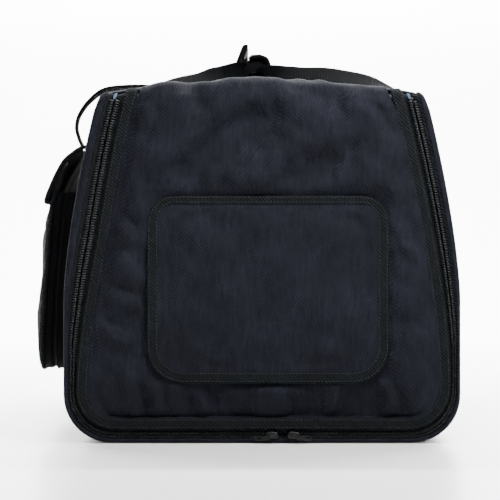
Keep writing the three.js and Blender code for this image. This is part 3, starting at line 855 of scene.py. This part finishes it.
def pull_set(word, x, way, mid_z):
    """Pull tab: a plate with a window at its far end, made as a rounded frame."""
    z = mid_z - 2.5
    start, end, half = x + way * 1.5, x + way * 18.0, 2.9
    outer = [[start, z - half * 0.6], [end - way * 2, z - half], [end, z - half * 0.5],
             [end, z + half * 0.5], [end - way * 2, z + half], [start, z + half * 0.6]]
    hole = [[end - way * 6.5, z - half * 0.45], [end - way * 2.4, z - half * 0.5],
            [end - way * 2.4, z + half * 0.5], [end - way * 6.5, z + half * 0.45]]
    samples = np.linspace(0, 1, 40, endpoint=False)

    def resample(corners):
        loop = close(chaikin(corners))
        run = run_along(loop)
        first = np.argmin(np.abs(np.arctan2(loop[:-1, 1] - z, loop[:-1, 0] - x)))
        return pick((run[first] + samples * run[-1]) % run[-1], run, loop)

    rim, gap = resample(outer), resample(hole)
    section = ((rim, -5.0), (rim, -3.6), (gap, -3.6), (gap, -5.0))
    rails = [upright(flat, FRONT + depth) for flat, depth in section]
    piece = band(f"pull_tab_{word}", rails, "zip_metal", f"zip_pull_{word}", ring=True)
    bevel(piece, 0.35)
    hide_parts(f"pull_{word}")


# ---------- door ----------
DOOR_FOLDS = [
    ((-8, 352), (-62, 318), 15, 2.6), ((-50, 322), (-118, 284), 19, 2.4),
    ((20, 350), (66, 312), 13, 2.0), ((62, 316), (6, 276), 17, 2.2),
    ((92, 350), (118, 296), 12, 1.5), ((-112, 344), (-128, 300), 9, 1.4),
    ((-66, 350), (-88, 330), 9, 1.2), ((-148, 222), (-126, 204), 7, 1.8),
    ((-150, 188), (-128, 172), 6, 1.5), ((-156, 150), (-124, 134), 7, 1.9),
    ((-160, 112), (-128, 100), 7, 1.6), ((138, 206), (156, 182), 7, 1.6),
    ((136, 150), (164, 128), 8, 1.8), ((138, 114), (170, 96), 8, 2.1),
    ((-132, 58), (-124, 26), 5, 2.0), ((-108, 56), (-102, 26), 4.5, 1.6),
    ((-60, 56), (-56, 26), 6, 1.2), ((18, 54), (22, 26), 5, 1.2),
    ((74, 56), (70, 26), 6, 1.4), ((120, 60), (136, 28), 6, 2.2),
    ((148, 92), (160, 44), 7, 2.0),
]


def sheet_rows(low, high, radius, step):
    """Row heights that crowd together in a rounded bottom corner."""
    corner = low + radius * (1 - np.cos(np.radians(np.linspace(0, 90, 11))))
    rest = np.linspace(corner[-1], high, int((high - corner[-1]) / step) + 2)[1:]
    return np.concatenate([corner, rest])


def door_grid(depth, top, step=CLOTH_STEP, radius=31.0):
    """The door's face inside its binding: x, height and the way in from the nearer side."""
    edge = inset(DOOR_HALF[:TOP_START + 2], depth, closed=False)
    edge = edge[COUNTS["floor"]:]
    way = edge[-1] - edge[-2]
    edge = np.vstack([edge, edge[-1] + way / way[1] * 40])
    rows = sheet_rows(edge[0][1], top, radius, step)
    half = np.interp(rows, edge[:, 1], edge[:, 0])[:, None]
    share = np.linspace(-1, 1, int(2 * half.max() / step))
    x, z = np.broadcast_arrays(half * share, rows[:, None])
    return askew(x, z), z, half * (1 - np.abs(share))


def crown_drop(x):
    """How far the bag's arched top is below its crown at a place across it."""
    return BAG["crown"] - top_height(x)


def port_reach(x, z):
    """The way from the middle of the nearer arm hole."""
    return np.hypot(np.abs(x - FLAP_X) - PORT_X, z - PORT_Z)


def face_push(x, z):
    """How far the door's face stands out of its plane: its padding, folds and rolled foot."""
    soft = creases(x, z, DOOR_FOLDS) + 0.8 * ripple(x, z, 110, 51) + 0.35 * ripple(x, z, 34, 52)
    under_flap = smooth_step(FLAP_HALF + 4 - np.abs(x - FLAP_X), 0, 14)
    under_flap = under_flap * smooth_step(z, FLAP_LOW - 6, FLAP_LOW + 10)
    under_flap = under_flap * (1 - smooth_step(z, FLAP_TOP + 2, FLAP_TOP + 16))
    soft = 6.6 * soft * (1 - 0.98 * under_flap)
    foot = -FOOT_DEPTH * (1 - smooth_step(z, 26, 84)) ** 1.5
    fill = 3.4 * (1 - under_flap) + 0.2 * under_flap
    return np.maximum(FOLD_LIMIT * np.tanh((soft + fill) / FOLD_LIMIT), -1.6), foot


def door_cloth():
    """The door's outer cloth, filled and creased, whose top goes over onto the bag."""
    top = BAG["crown"] + 10.0
    x, z, near = door_grid(BINDING - 1.6, top)
    rows, cols = x.shape
    z = z - crown_drop(x) * smooth_step(z, ARCH_START, top)
    piece = make("door_cloth", space(x, FRONT - 0.2, z), grid_faces(rows, cols), "twill")
    x, z, near = x.ravel(), z.ravel(), near.ravel()
    edge = (near < 4) | (np.arange(rows) < 2).repeat(cols) | (z > top_height(x) - 2)
    ring = port_reach(x, z)
    flap_zone = (np.abs(x - FLAP_X) < FLAP_HALF + 3) & (z > FLAP_LOW) & (z < FLAP_TOP + 6)
    pinned = edge | (ring < PORT_RADIUS + 6)
    inflate(piece, pinned, 2.2, 0.03, np.where(flap_zone, 0.7, 3.0))
    points = points_of(piece.data)
    x, z = points[:, 0], points[:, 2]
    hold = smooth_step(near, 1, 18) * smooth_step(z, 24, 34)
    hold = hold * (1 - 0.6 * smooth_step(z, top_height(x) - 8, top_height(x) + 4))
    hold = hold * smooth_step(ring, PORT_RADIUS + 3, PORT_RADIUS + 16)
    soft, foot = face_push(x, z)
    sewn = z.min()  # the lowest edge stays under the binding
    foot_hold = smooth_step(near, 0, 12) * smooth_step(z, sewn + 0.2, sewn + 1.6)
    points[:, 1] -= soft * hold + foot * foot_hold
    strip = smooth_step(51 - np.abs(x - FLAP_X), 0, 5) * smooth_step(z, 56, 61)
    strip = strip * (1 - smooth_step(z, 71, 76))  # the loop strip is sewn here
    points[:, 1] += strip * np.maximum(FRONT + 1.3 - points[:, 1], 0)
    points[:, 1] = np.minimum(points[:, 1], FRONT + 2.2 - foot)
    put_points(piece, over_top(points))
    open_ports(piece, PORT_RADIUS + 1.5)
    thicken(piece, 1.2, offset=1.0, subdivide=1)
    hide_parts("door_panel")
    bend_door(piece)


def open_ports(piece, radius):
    """Opens the two arm holes and makes their edges round."""
    def inside(spot):
        return port_reach(spot.x, spot.z) < radius

    def round_rim(vert):
        centre = FLAP_X + math.copysign(PORT_X, vert.co.x / MM - FLAP_X)
        away_x = vert.co.x / MM - centre
        away_z = vert.co.z / MM - PORT_Z
        reach = math.hypot(away_x, away_z)
        if reach < radius + 8:
            vert.co.x = (centre + away_x * radius / reach) * MM
            vert.co.z = (PORT_Z + away_z * radius / reach) * MM

    cut_faces(piece, inside, round_rim)


def door_layer(name, node, slot, y, depth, thick, hole, turn, quilted, seed):
    """A flat layer inside the door, depth in from the binding, its margin turned in by turn.

    Its arm holes are wider than the ports by hole, and its face waves by quilted.
    """
    x, z, near = door_grid(BINDING + depth, INSIDE_TOP, step=6.0, radius=28.0)
    turned_in = turn * (1 - smooth_step(np.minimum(near, z - z.min()), 0, 2.6))
    hold = smooth_step(near, 0, 20) * smooth_step(z, 28, 44)
    hold = hold * (1 - smooth_step(z, INSIDE_TOP - 16, INSIDE_TOP))
    hold = hold * smooth_step(port_reach(x, z), PORT_RADIUS + 2, PORT_RADIUS + 14)
    quilt = ripple(x, z, 60, seed) * quilted
    z = z - crown_drop(x) * smooth_step(z, ARCH_START, INSIDE_TOP)
    back = 1.1 * FOOT_DEPTH * (1 - smooth_step(z, 30, 90))
    points = space(x, y + quilt * hold + back - turned_in, z)
    piece = make(name, points, grid_faces(*x.shape), slot)
    open_ports(piece, PORT_RADIUS + hole)
    thicken(piece, thick)
    outward(piece)
    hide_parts(node)
    return piece


def door_inside():
    """The door's foam and its lining."""
    pad = door_layer("door_pad", "door_foam", "foam", y=FRONT + 4.0, depth=7.5, thick=4.2,
                     hole=1.5, turn=0, quilted=0.2, seed=61)
    bend_door(pad)
    cloth = door_layer("door_lining_cloth", "door_lining", "black_cloth", y=FRONT + 9.4,
                       depth=0.6, thick=0.9, hole=-0.1, turn=6.0, quilted=0.4, seed=62)
    bend_door(cloth)


def door_edge():
    """Tape folded over the door's edge, with two rows of stitches."""
    bound = [
        (0.4, 4.6), (0.0, 1.6), (0.3, 0.0), (1.3, -0.9), (3.6, -1.3), (6.2, -1.2), (9.0, -1.3),
        (11.2, -1.0), (12.2, -0.4), (12.3, 0.8), (9.0, 1.6), (3.0, 2.2), (2.4, 4.6)]
    rails = [rail(1.0, offset, depth, DOOR_IN) for offset, depth in bound]
    piece = band("door_binding_tape", rails, "binding")
    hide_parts("door_binding")
    bend_door(piece)
    rows = []
    for offset, depth in ((2.4, -1.2), (10.2, -1.25)):
        line = rail(1.0, offset, depth, DOOR_IN)
        rows.append((line, line - rail(1.0, offset, depth + 1, DOOR_IN)))
    bend_door(stitches("door_binding_stitches", rows))


def full_turn(steps):
    return np.linspace(0, 2 * math.pi, steps, endpoint=False)[:, None]


def turned(name, x, angles, radius, y, slot):
    """A ring or tube round an arm hole's axis, from the radius and y of its closed section."""
    points = space(x + radius * np.cos(angles), y, PORT_Z + radius * np.sin(angles))
    faces = grid_faces(*points.shape[:2], wrap=True, ring=True)
    return outward(make(name, points, faces, slot, "door"))


def arm_ports():
    """Hemmed holes, sleeves that reach into the bag, and gathered elastic cuffs."""
    start, end = SLEEVE["start"], SLEEVE["end"]
    hem = [(45.9, 9.8), (45.8, 0), (46.4, -1.3), (48.2, -1.9), (51.0, -2.0), (53.4, -1.8),
           (54.4, -1.1), (54.0, -0.4), (48.6, -0.3), (47.2, 0.4), (47.2, 9.8)]
    outer = [(46.2, 1.2), (46.2, 7.0)]  # sewn inside the hem
    outer += [(45.2 - 8 * t ** 1.3, start + (end - start) * t) for t in np.linspace(0, 1, 46)]
    inner = [(radius - 0.9, depth) for radius, depth in outer[::-1]]
    cuff = [(33.2, 0.6), (33.0, 11), (33.2, 21.5), (35.2, 22.4), (37.0, 20.5), (36.2, 16.0),
            (37.0, 11.0), (36.2, 6.0), (37.0, 1.6), (35.2, 0.3)]
    for word, side in (("left", -1), ("right", 1)):
        x = FLAP_X + side * PORT_X
        angles = full_turn(96)
        radius, depth = np.transpose(hem)
        piece = turned(f"port_hem_{word}", x, angles, radius, FRONT + depth, "binding")
        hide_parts(f"arm_port_hem_{word}")
        radius, depth = np.transpose(outer + inner)
        y = FRONT + depth
        loose = smooth_step(y, y.min() + 16, y.min() + 50)
        uneven = ripple(angles * 40 + 0 * y, 0 * angles + y * 0.6, 24, 71 + side)
        radius = radius + 1.1 * loose * uneven
        piece = turned(f"arm_sleeve_{word}", x, angles, radius, y, "black_cloth")
        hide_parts(f"sleeve_{word}")
        angles = full_turn(160)
        radius, depth = np.transpose(cuff)
        radius = radius + 0.45 * np.sin(angles * 40) + 0.2 * np.sin(angles * 23 + 1)
        y = FRONT + end + depth
        piece = turned(f"elastic_cuff_{word}", x, angles, radius, y, "elastic")
        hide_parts(f"cuff_{word}")


# ---------- flap over the arm holes ----------
FLAP_SAMPLES = 40
FLAP_FOLDS = [
    ((-92, 226), (-40, 196), 14, 2.2), ((40, 228), (86, 200), 15, 2.4),
    ((-88, 110), (-60, 84), 12, 2.2), ((60, 96), (96, 78), 11, 1.9),
    ((20, 168), (84, 112), 19, 2.3), ((-60, 184), (-10, 118), 20, 2.1),
]


def bend_flap(piece):
    """Cloth that is sewn to the door along its top and hangs as the flap below; only bakes its
    placement into its mesh, without tying it to the flap's body.
    """
    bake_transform(piece)


def flap_outline(depth):
    """Right half of the flap's edge drawn in by depth, from the bottom middle to the top."""
    low = arc(FLAP_HALF - FLAP_LOW_RADIUS, FLAP_LOW + FLAP_LOW_RADIUS,
              FLAP_LOW_RADIUS - depth, -90, 0, 16)
    high = arc(FLAP_HALF - FLAP_TOP_RADIUS, FLAP_TOP - FLAP_TOP_RADIUS,
               FLAP_TOP_RADIUS - depth, 0, 90, 16)
    floor = np.linspace([0, low[0][1]], low[0], FLAP_SAMPLES, endpoint=False)
    side = np.linspace(low[-1], high[0], FLAP_SAMPLES + 2)[1:-1]
    return np.concatenate([floor, low, side, high])


def flap_lift(x, z):
    """How far the flap stands off the door: most at its free foot."""
    foot = smooth_step(120 - z, 0, 60)
    return 1.0 * foot + 0.7 * ripple(x, z, 120, 81) * smooth_step(232 - z, 0, 40)


def flap_cloth():
    """The flap's quilted face inside its tape, pinched along the line where it folds."""
    depth = BINDING / 2
    half = flap_outline(depth)
    rows = sheet_rows(half[0][1], FLAP_FOLD - 6, FLAP_LOW_RADIUS - depth, CLOTH_STEP)
    rows = np.concatenate([rows, FLAP_FOLD + np.array([-4, -2.4, -1.2, -0.4, 0.4, 1.2, 2.0, 2.6])])
    side = half[FLAP_SAMPLES:]
    reach = np.interp(rows, side[:, 1], side[:, 0])[:, None]
    x, z = np.broadcast_arrays(FLAP_X + reach * np.linspace(-1, 1, 44), rows[:, None])
    points = space(x, FLAP_FACE + 0.9, z)
    piece = make("flap_cloth", points, grid_faces(*x.shape), "twill")
    near = (reach - np.abs(x - FLAP_X)).ravel()
    pinned = (near < 8) | (z.ravel() < rows[0] + 8) | (z.ravel() > FLAP_FOLD - 5)
    inflate(piece, pinned, 1.2, 0.012, 1.6)
    points = points_of(piece.data)
    x, z = points[:, 0], points[:, 2]
    hold = smooth_step(near, 7, 24) * smooth_step(z, rows[0] + 7, rows[0] + 24)
    hold = hold * smooth_step(FLAP_FOLD - 2 - z, 0, 14)
    soft = creases(x, z, FLAP_FOLDS) + 0.9 * ripple(x, z, 60, 83)
    points[:, 1] -= flap_lift(x, z) + hold * soft
    points[:, 1] += 1.7 * np.exp(-((z - FLAP_FOLD) / 1.1) ** 2)
    put_points(piece, points)
    thicken(piece, 1.6, offset=1.0, subdivide=1)
    outward(piece)
    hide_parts("flap_panel")
    bend_flap(piece)


def flap_ring(depth, out):
    """A line round the flap at a depth from its edge, less along the top, and a height off it."""
    half = flap_outline(depth)
    top = FLAP_TOP - depth
    share = smooth_step(half[:, 1], top - 30, top)
    half[:, 1] += share * depth * (1 - FLAP_TOP_TAPE / BINDING)
    flat = whole(half) + [FLAP_X, 0]
    return upright(flat, FLAP_FACE - out - flap_lift(flat[:, 0], flat[:, 1]))


def flap_tapes():
    """Tape folded over the flap's edge, sewn to the door above the fold, with its stitches."""
    profile = [(0.4, -1.6), (0.0, -0.6), (0.5, 0.5), (2.0, 0.9), (6.0, 0.8), (10.4, 0.9),
               (11.8, 0.4), (12.0, -0.5), (9.0, -1.4), (6.0, -2.3), (2.0, -2.6)]
    rails = [flap_ring(depth, out) for depth, out in profile]
    piece = band("flap_binding_tape", rails, "binding", ring=True)
    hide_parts("flap_binding", "flap_top_tape")
    bend_flap(piece)
    rows = []
    for depth in (2.2, 9.9):
        line = close(flap_ring(depth, 0.9))
        rows.append((line, 0 * line + [0, -1.0, 0]))
    bend_flap(stitches("flap_binding_stitches", rows))
    across = FLAP_X + np.linspace(-95, 95, 60)
    rails = [space(across, FLAP_FACE + depth, FLAP_TOP - drop)
             for drop, depth in ((1.5, 2.7), (1.5, 5.7), (5.0, 5.7), (5.0, 2.7))]
    band("flap_seam_fold", rails, "binding", "door")


# ---------- pocket on the left wall ----------
PATH_SAMPLES = 60
FLAP_CURVE = [[-177.8, 305.6], [-185.5, 305.4], [-193, 302.4], [-201.5, 297.0], [-210.5, 289.2],
              [-217.0, 279.0], [-223.2, 266.0], [-231.6, 246.6]]


def pocket_x(z):
    return np.interp(z, POCKET_FACE[:, 0], POCKET_FACE[:, 1])


def pocket_path(depth):
    """The pocket's edge from its near top, down, and up to its far top, as y and z."""
    half, radius = POCKET_HALF - depth, POCKET_RADIUS - depth
    low = arc(POCKET_HALF - POCKET_RADIUS, POCKET_LOW + POCKET_RADIUS, radius, -90, 0, 14)
    side = np.linspace(low[-1], [half, POCKET_TOP], PATH_SAMPLES)[1:]
    floor = np.linspace([0, low[0][1]], low[0], PATH_SAMPLES, endpoint=False)
    right = np.concatenate([floor, low, side])
    return np.concatenate([right[::-1] * [-1, 1], right[1:]])


def pocket_front():
    """The pocket's swollen front, its edge held by the side band."""
    low = POCKET_LOW + 3
    rows = sheet_rows(low, POCKET_TOP - 1, POCKET_RADIUS - 3, CLOTH_STEP)
    edge = pocket_path(3)
    edge = edge[len(edge) // 2 + PATH_SAMPLES:]
    reach = np.interp(rows, edge[:, 1], edge[:, 0])[:, None]
    y, z = np.broadcast_arrays(reach * np.linspace(-1, 1, 60), rows[:, None])
    faces = [face[::-1] for face in grid_faces(*y.shape)]
    piece = make("pocket_front_cloth", space(pocket_x(z) - 0.2, y, z), faces, "black_cloth")
    near = (reach - np.abs(y)).ravel()
    pinned = (near < 4) | (z.ravel() < low + 2) | (z.ravel() > POCKET_TOP - 6)
    inflate(piece, pinned, 2.5, 0.02, 4.0)
    points = points_of(piece.data)
    y, z = points[:, 1], points[:, 2]
    hold = smooth_step(near, 0, 30) * smooth_step(z, low, low + 30)
    hold = hold * (1 - smooth_step(z, 215, 248))
    points[:, 0] -= hold * (3.0 + 1.2 * ripple(y, z, 90, 91) + 0.5 * ripple(y, z, 32, 92))
    put_points(piece, points)
    thicken(piece, 2.2, offset=1.0, subdivide=1)
    outward(piece)
    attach(piece, "bag_body")
    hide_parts("pocket_front")


def pocket_sides():
    """The pocket's side band with two corded grooves, and the cord round its front."""
    skins = {0.0: [], 1.6: []}
    for share in np.linspace(0, 1, 34):
        groove = sum(2.2 * np.exp(-((share - at) / 0.05) ** 2) for at in (0.30, 0.66))
        cord = sum(1.1 * np.exp(-((share - at) / 0.03) ** 2) for at in (0.39, 0.75))
        belly = 1.6 * math.sin(math.pi * share)
        for extra, rails in skins.items():
            line = pocket_path(2.4 + groove - cord - belly * 0.5 + extra)
            z = np.clip(line[:, 1], POCKET_LOW, POCKET_TOP)
            front_x = pocket_x(z) + 2.0
            wall_x = -wall_half(z) - 0.2
            rails.append(space(front_x + (wall_x - front_x) * share, line[:, 0], line[:, 1]))
    outer, inner = skins.values()
    piece = band("pocket_side_band", outer + inner[::-1], "black_cloth", "bag_body")
    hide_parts("pocket_gusset")
    front_x = pocket_x(np.clip(pocket_path(0)[:, 1], POCKET_LOW, POCKET_TOP)) + 0.4
    rails = []
    for angle in TWELFTHS:
        line = pocket_path(2.4 - 2.5 * math.cos(angle))
        rails.append(space(front_x - 2.4 * math.sin(angle), line[:, 0], line[:, 1]))
    piece = band("pocket_edge_cord", rails, "binding", "bag_body")
    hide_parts("pocket_piping")


def pocket_flap():
    """The pocket's flap with its two slots for the handle, and the tape round it."""
    wide = POCKET_HALF + 2.0
    curve = spline(FLAP_CURVE, 6)
    way = unit(np.gradient(curve, axis=0))
    out = np.stack([way[:, 1], -way[:, 0]], axis=1)
    y = np.linspace(-wide, wide, 87)[None, :]
    run = np.linspace(0, 1, len(curve))[:, None]
    lift = ripple(y + 0 * run, run * 80 + 0 * y, 70, 95) * 0.9 * smooth_step(run, 0.25, 0.7)
    flat = curve[:, None] + out[:, None] * lift[..., None]
    points = upright(flat, y)
    piece = make("pocket_flap_cloth", points, grid_faces(*lift.shape), "black_cloth")
    cut_faces(piece, lambda spot: abs(abs(spot.y) - LEG_Y) < 24 and -193.9 < spot.x < -187.5)
    thicken(piece, 2.6, offset=0.0)
    outward(piece)
    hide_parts("pocket_flap_panel")
    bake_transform(piece)
    pocket_flap_tape(curve, out, wide)


def pocket_flap_tape(curve, out, wide):
    """Thick tape round the flap's two sides and its lower edge."""
    radius = 12
    turn = 8  # points in each rounded corner
    keep = curve[:, 1] < 303.5
    line, face = curve[keep], out[keep]
    side = np.concatenate([line, np.tile(line[-1], (turn, 1))])
    bend = np.radians(np.linspace(0, 90, turn + 1))[1:]
    y = np.concatenate([np.full(len(line), -wide), -wide + radius * (1 - np.cos(bend))])
    lift = np.concatenate([np.zeros(len(line)), radius * (np.sin(bend) - 1)])
    place = np.arange(len(side))
    before = smooth_step(place, len(line) - 12, len(line) - 1)
    slide = np.where(place >= len(line), lift, -radius * before)
    side = side + unit(line[-1] - line[-2]) * slide[:, None]
    near = upright(side, y)
    near_face = np.vstack([face, np.tile(face[-1], (turn, 1))])
    path = np.concatenate([near, near[::-1] * [1, -1, 1]])
    normal = upright(np.concatenate([near_face, near_face[::-1]]), 0)
    across = unit(np.cross(unit(np.gradient(path, axis=0)), normal))
    rails = [path + across * 4.2 * math.cos(angle) + normal * 2.5 * math.sin(angle)
             for angle in TWELFTHS]
    piece = band("pocket_flap_edge", rails, "binding", "pocket_flap")
    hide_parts("pocket_flap_binding")


# ---------- carry handles ----------
LEFT_ROUTE = [
    [-194, -130, 304.5], [-196, -130, 308.5], [-199.5, -130, 317], [-201.5, -130, 328],
    [-198, -130, 341], [-187, -130, 356], [-170, -129, 368], [-142, -126, 371.5],
    [-112, -119, 373.5], [-84, -108, 376.5], [-58, -96, 379.5], [-40, -84, 384],
    [-22.5, -72, 394], [-19.8, -62, 401.5], [-19.8, -57, 401.5], [-19.8, 0, 401.5],
]
LEFT_LEANS = [[0, 1, 0]] * 8 + [
    [0, 1, 0.15], [0.1, 1, 0.45], [0.1, 0.9, 0.6], [0.1, 0.7, 0.9], [0.3, 0.3, 1],
    [0.45, 0, 1], [0.45, 0, 1], [0.45, 0, 1]]
LEFT_WIDTHS = [44, 42, 34, 27, 27, 34] + [44] * 4 + [44, 38, 24, 20, 20, 20]
RIGHT_ROUTE = [
    [180, -130, 298], [179.5, -130, 302], [177, -130, 318], [174, -130, 334],
    [169.5, -130, 349], [160, -130, 361], [145, -128, 368.5], [126, -124, 374.5],
    [107, -117, 379], [86, -109, 382], [64, -101, 383], [42, -93, 383.5], [24, -85, 385],
    [10, -77, 388], [0, -70, 390.6], [-3.4, -64, 391.4], [-3.4, -30, 391.4], [-3.4, 0, 391.4],
]
RIGHT_LEANS = [[0, 1, 0]] * 6 + [
    [0, 1, 0.15], [0, 1, 0.35], [0, 1, 0.5], [0, 1, 0.6], [0, 1, 0.8], [0, 1, 0.9],
    [-0.2, 0.9, 1.1], [-0.5, 0.6, 1], [-1, 0.35, 0.4], [-1, 0.1, 0], [-1, 0, 0], [-1, 0, 0]]
RIGHT_WIDTHS = [44] * 11 + [42, 36, 28, 22, 20, 20, 20]
WRAP_PADS = {
    "wrap_base_left": ("handle_left", WRAP_HALF, [
        [-31, 384.4], [-19, 384.4], [-19, 387.5], [-31, 387.5]]),
    "wrap_base_right": ("handle_right", WRAP_HALF, [
        [-18.8, 384.4], [-2, 384.2], [8.5, 384.4], [8.5, 387.5], [-2, 387.6], [-18.8, 387.5]]),
    "wrap_core": ("handle_right", CORE_HALF, [
        [-24.0, 388.1], [-19, 388.1], [-14, 388.1], [-13.9, 393.2], [-3, 393.2], [7.2, 393.3],
        [7.5, 401], [4.8, 406.6], [1.6, 408.9], [-5, 409.2], [-14.5, 409.0], [-18.1, 401],
        [-21.5, 393.3], [-21.5, 391.2], [-23.5, 390.9]]),
    "wrap_flap_left": ("wrap_left", WRAP_HALF, [
        [-31.8, 388], [-27.8, 388], [-25.6, 399.6], [-20.0, 411.0], [-15.2, 420.8],
        [-13.6, 425.6], [-17.6, 426.0], [-20.6, 424.6], [-24.0, 416.0], [-29.6, 400.6]]),
    "wrap_flap_right": ("wrap_right", WRAP_HALF, [
        [12.9, 388], [12.0, 402], [9.2, 410.4], [3.8, 413.5], [-3, 414.4], [-13.6, 412.8],
        [-13.6, 409.2], [-3, 410.6], [2.3, 410], [6.0, 407.4], [8.4, 401.4], [9.1, 388]]),
}


def there_and_back(near):
    """A row of values for the near half of a handle, and the same again for its far half."""
    return np.concatenate([near, near[:-1][::-1]])


def strap(name, route, leans, widths):
    """Flat webbing along a route, its section rounded at the edges and a little ridged."""
    half, lean = spline(route, 6), spline(leans, 6)
    path, lean = there_and_back(half), there_and_back(lean)
    path[len(half):, 1] *= -1
    lean[len(half):, 1] *= -1
    width = there_and_back(spline(np.array(widths)[:, None], 6))
    way = unit(np.gradient(path, axis=0))
    side = unit(lean - way * np.sum(lean * way, axis=1, keepdims=True))
    flat = np.cross(way, side)
    shares = np.linspace(-1, 1, 23)
    ridge = 0.16 * np.cos(shares * math.pi * 10)
    thick = (WEBBING_THICK / 2) * (1 - np.abs(shares) ** 8 * 0.75)
    section = [*zip(shares, thick + ridge), *zip(shares[::-1], -thick[::-1])]
    return band(name, [path + side * a * width / 2 + flat * b for a, b in section], "webbing")


def handles():
    left = strap("handle_left_webbing", LEFT_ROUTE, LEFT_LEANS, LEFT_WIDTHS)
    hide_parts("handle_strap_left")
    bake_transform(left)
    right = strap("handle_right_webbing", RIGHT_ROUTE, RIGHT_LEANS, RIGHT_WIDTHS)
    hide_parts("handle_strap_right")
    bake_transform(right)
    anchor_seams()


def anchor_seams():
    """Box and cross stitches on the handles' sewn ends."""
    low, high, half = 265.0, 291.0, 18.0
    box = [(-half, low), (half, low), (half, high), (-half, high), (-half, low), (half, high)]
    cross = [(-half, high), (half, low)]
    for word, side in (("left", -1), ("right", 1)):
        rows = []
        for y_mid in (-LEG_Y, LEG_Y):
            for run in (box, cross):
                flat = np.concatenate([np.linspace(a, b, 12) for a, b in zip(run, run[1:])])
                x = side * (wall_half(flat[:, 1]) + 3.1)
                line = space(x, flat[:, 0] + y_mid, flat[:, 1])
                rows.append((line, 0 * line + [side * 1.0, 0, 0.15]))
        stitches(f"handle_stitches_{word}", rows, "bag_body")


def grip_wrap():
    """The hand pad that holds the two straps together, and its two closing flaps."""
    for node, (body, half, outline) in WRAP_PADS.items():
        piece = slab(f"{node}_pad", chaikin(outline), -half, half, "black_cloth", body)
        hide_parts(node)


def dress_frame():
    """Better materials on the CAD pieces that stay."""
    finish_of = {"base_board": "board"}
    finish_of.update({f"{word}_strip": "hook_loop" for word in (
        "door_loop", "flap_hook", "pocket_loop", "pocket_hook", "wrap_hook", "wrap_loop")})
    finish_of.update({f"handle_anchor_{word}": "webbing" for word in (
        "left_near", "left_far", "right_near", "right_far")})
    for name, slot in finish_of.items():
        node = frame["nodes"][name]
        node.data.materials.clear()
        node.data.materials.append(LOOKS[slot])
        soft = node.modifiers.new("bevel", "BEVEL")
        soft.width = 0.3 * MM
        soft.segments = 2


# ---------- studio, in metres ----------
def area_light(name, place, aim, power, size, size_y):
    data = bpy.data.lights.new(name, "AREA")
    data.energy = power
    data.shape = "RECTANGLE"
    data.size = size
    data.size_y = size_y
    lamp = bpy.data.objects.new(name, data)
    bpy.context.scene.collection.objects.link(lamp)
    lamp.location = place
    from_to = lamp.location - type(lamp.location)(aim)
    lamp.rotation_euler = from_to.to_track_quat("Z", "Y").to_euler()


def floor_sweep():
    """Pale floor that curves up behind into a pale backdrop."""
    look, tree, shader, place = nodes_of("studio_paper")
    paper = ramp(tree, noise(tree, place, 1.5), [(0.2, (0.86, 0.86, 0.87)), (0.8, (0.9, 0.9, 0.9))])
    give(tree, shader, {"Base Color": paper, "Roughness": 0.3})
    bend = arc(3.0, 1.5, 1.5, -90, 0, 16)
    profile = [(-6.0, 0.0), *bend, (4.5, 6.0)]
    points = [[x, y, z] for y, z in profile for x in (-9.0, 9.0)]
    data = bpy.data.meshes.new("floor_sweep")
    data.from_pydata(points, [], grid_faces(len(profile), 2))
    data.polygons.foreach_set("use_smooth", [True] * len(data.polygons))
    data.materials.append(look)
    floor = bpy.data.objects.new("floor_sweep", data)
    bpy.context.scene.collection.objects.link(floor)
    floor.location.z = -0.0006


def studio():
    floor_sweep()
    world = bpy.data.worlds.new("studio")
    world.use_nodes = True
    give(world.node_tree, world.node_tree.nodes["Background"],
         {"Color": (1.0, 1.0, 1.0, 1), "Strength": 0.2})
    bpy.context.scene.world = world
    area_light("key", (0.26, -0.62, 0.9), (0.02, -0.3, 0.22), 17, 0.4, 0.25)
    area_light("fill", (2.0, -2.4, 1.0), (0, -0.2, 0.2), 7, 1.5, 1.5)
    area_light("overhead", (0.0, 0.5, 2.2), (0, 0.3, 0.3), 14, 2.0, 1.0)
    area_light("backdrop", (0.0, 1.4, 3.2), (0, 4.0, 0.9), 2000, 4.0, 1.0)
    area_light("apron", (0.0, -0.95, 0.9), (0, -0.7, 0), 10, 2.4, 0.15)


def camera():
    data = bpy.data.cameras.new("camera")
    data.lens = 129.6
    data.sensor_width = 36.0
    data.clip_end = 50
    eye = bpy.data.objects.new("camera", data)
    bpy.context.scene.collection.objects.link(eye)
    eye.location = (-0.012, -2.100, 0.193)
    eye.rotation_euler = (math.pi / 2, 0, 0)
    bpy.context.scene.camera = eye


camera()
bag_shell()
rear_end()
wall_padding()
lining()
zip_bands()
teeth_rows()
tape_ends()
slider_set()
door_cloth()
door_inside()
door_edge()
arm_ports()
flap_cloth()
flap_tapes()
pocket_front()
pocket_sides()
pocket_flap()
handles()
grip_wrap()
dress_frame()
studio()
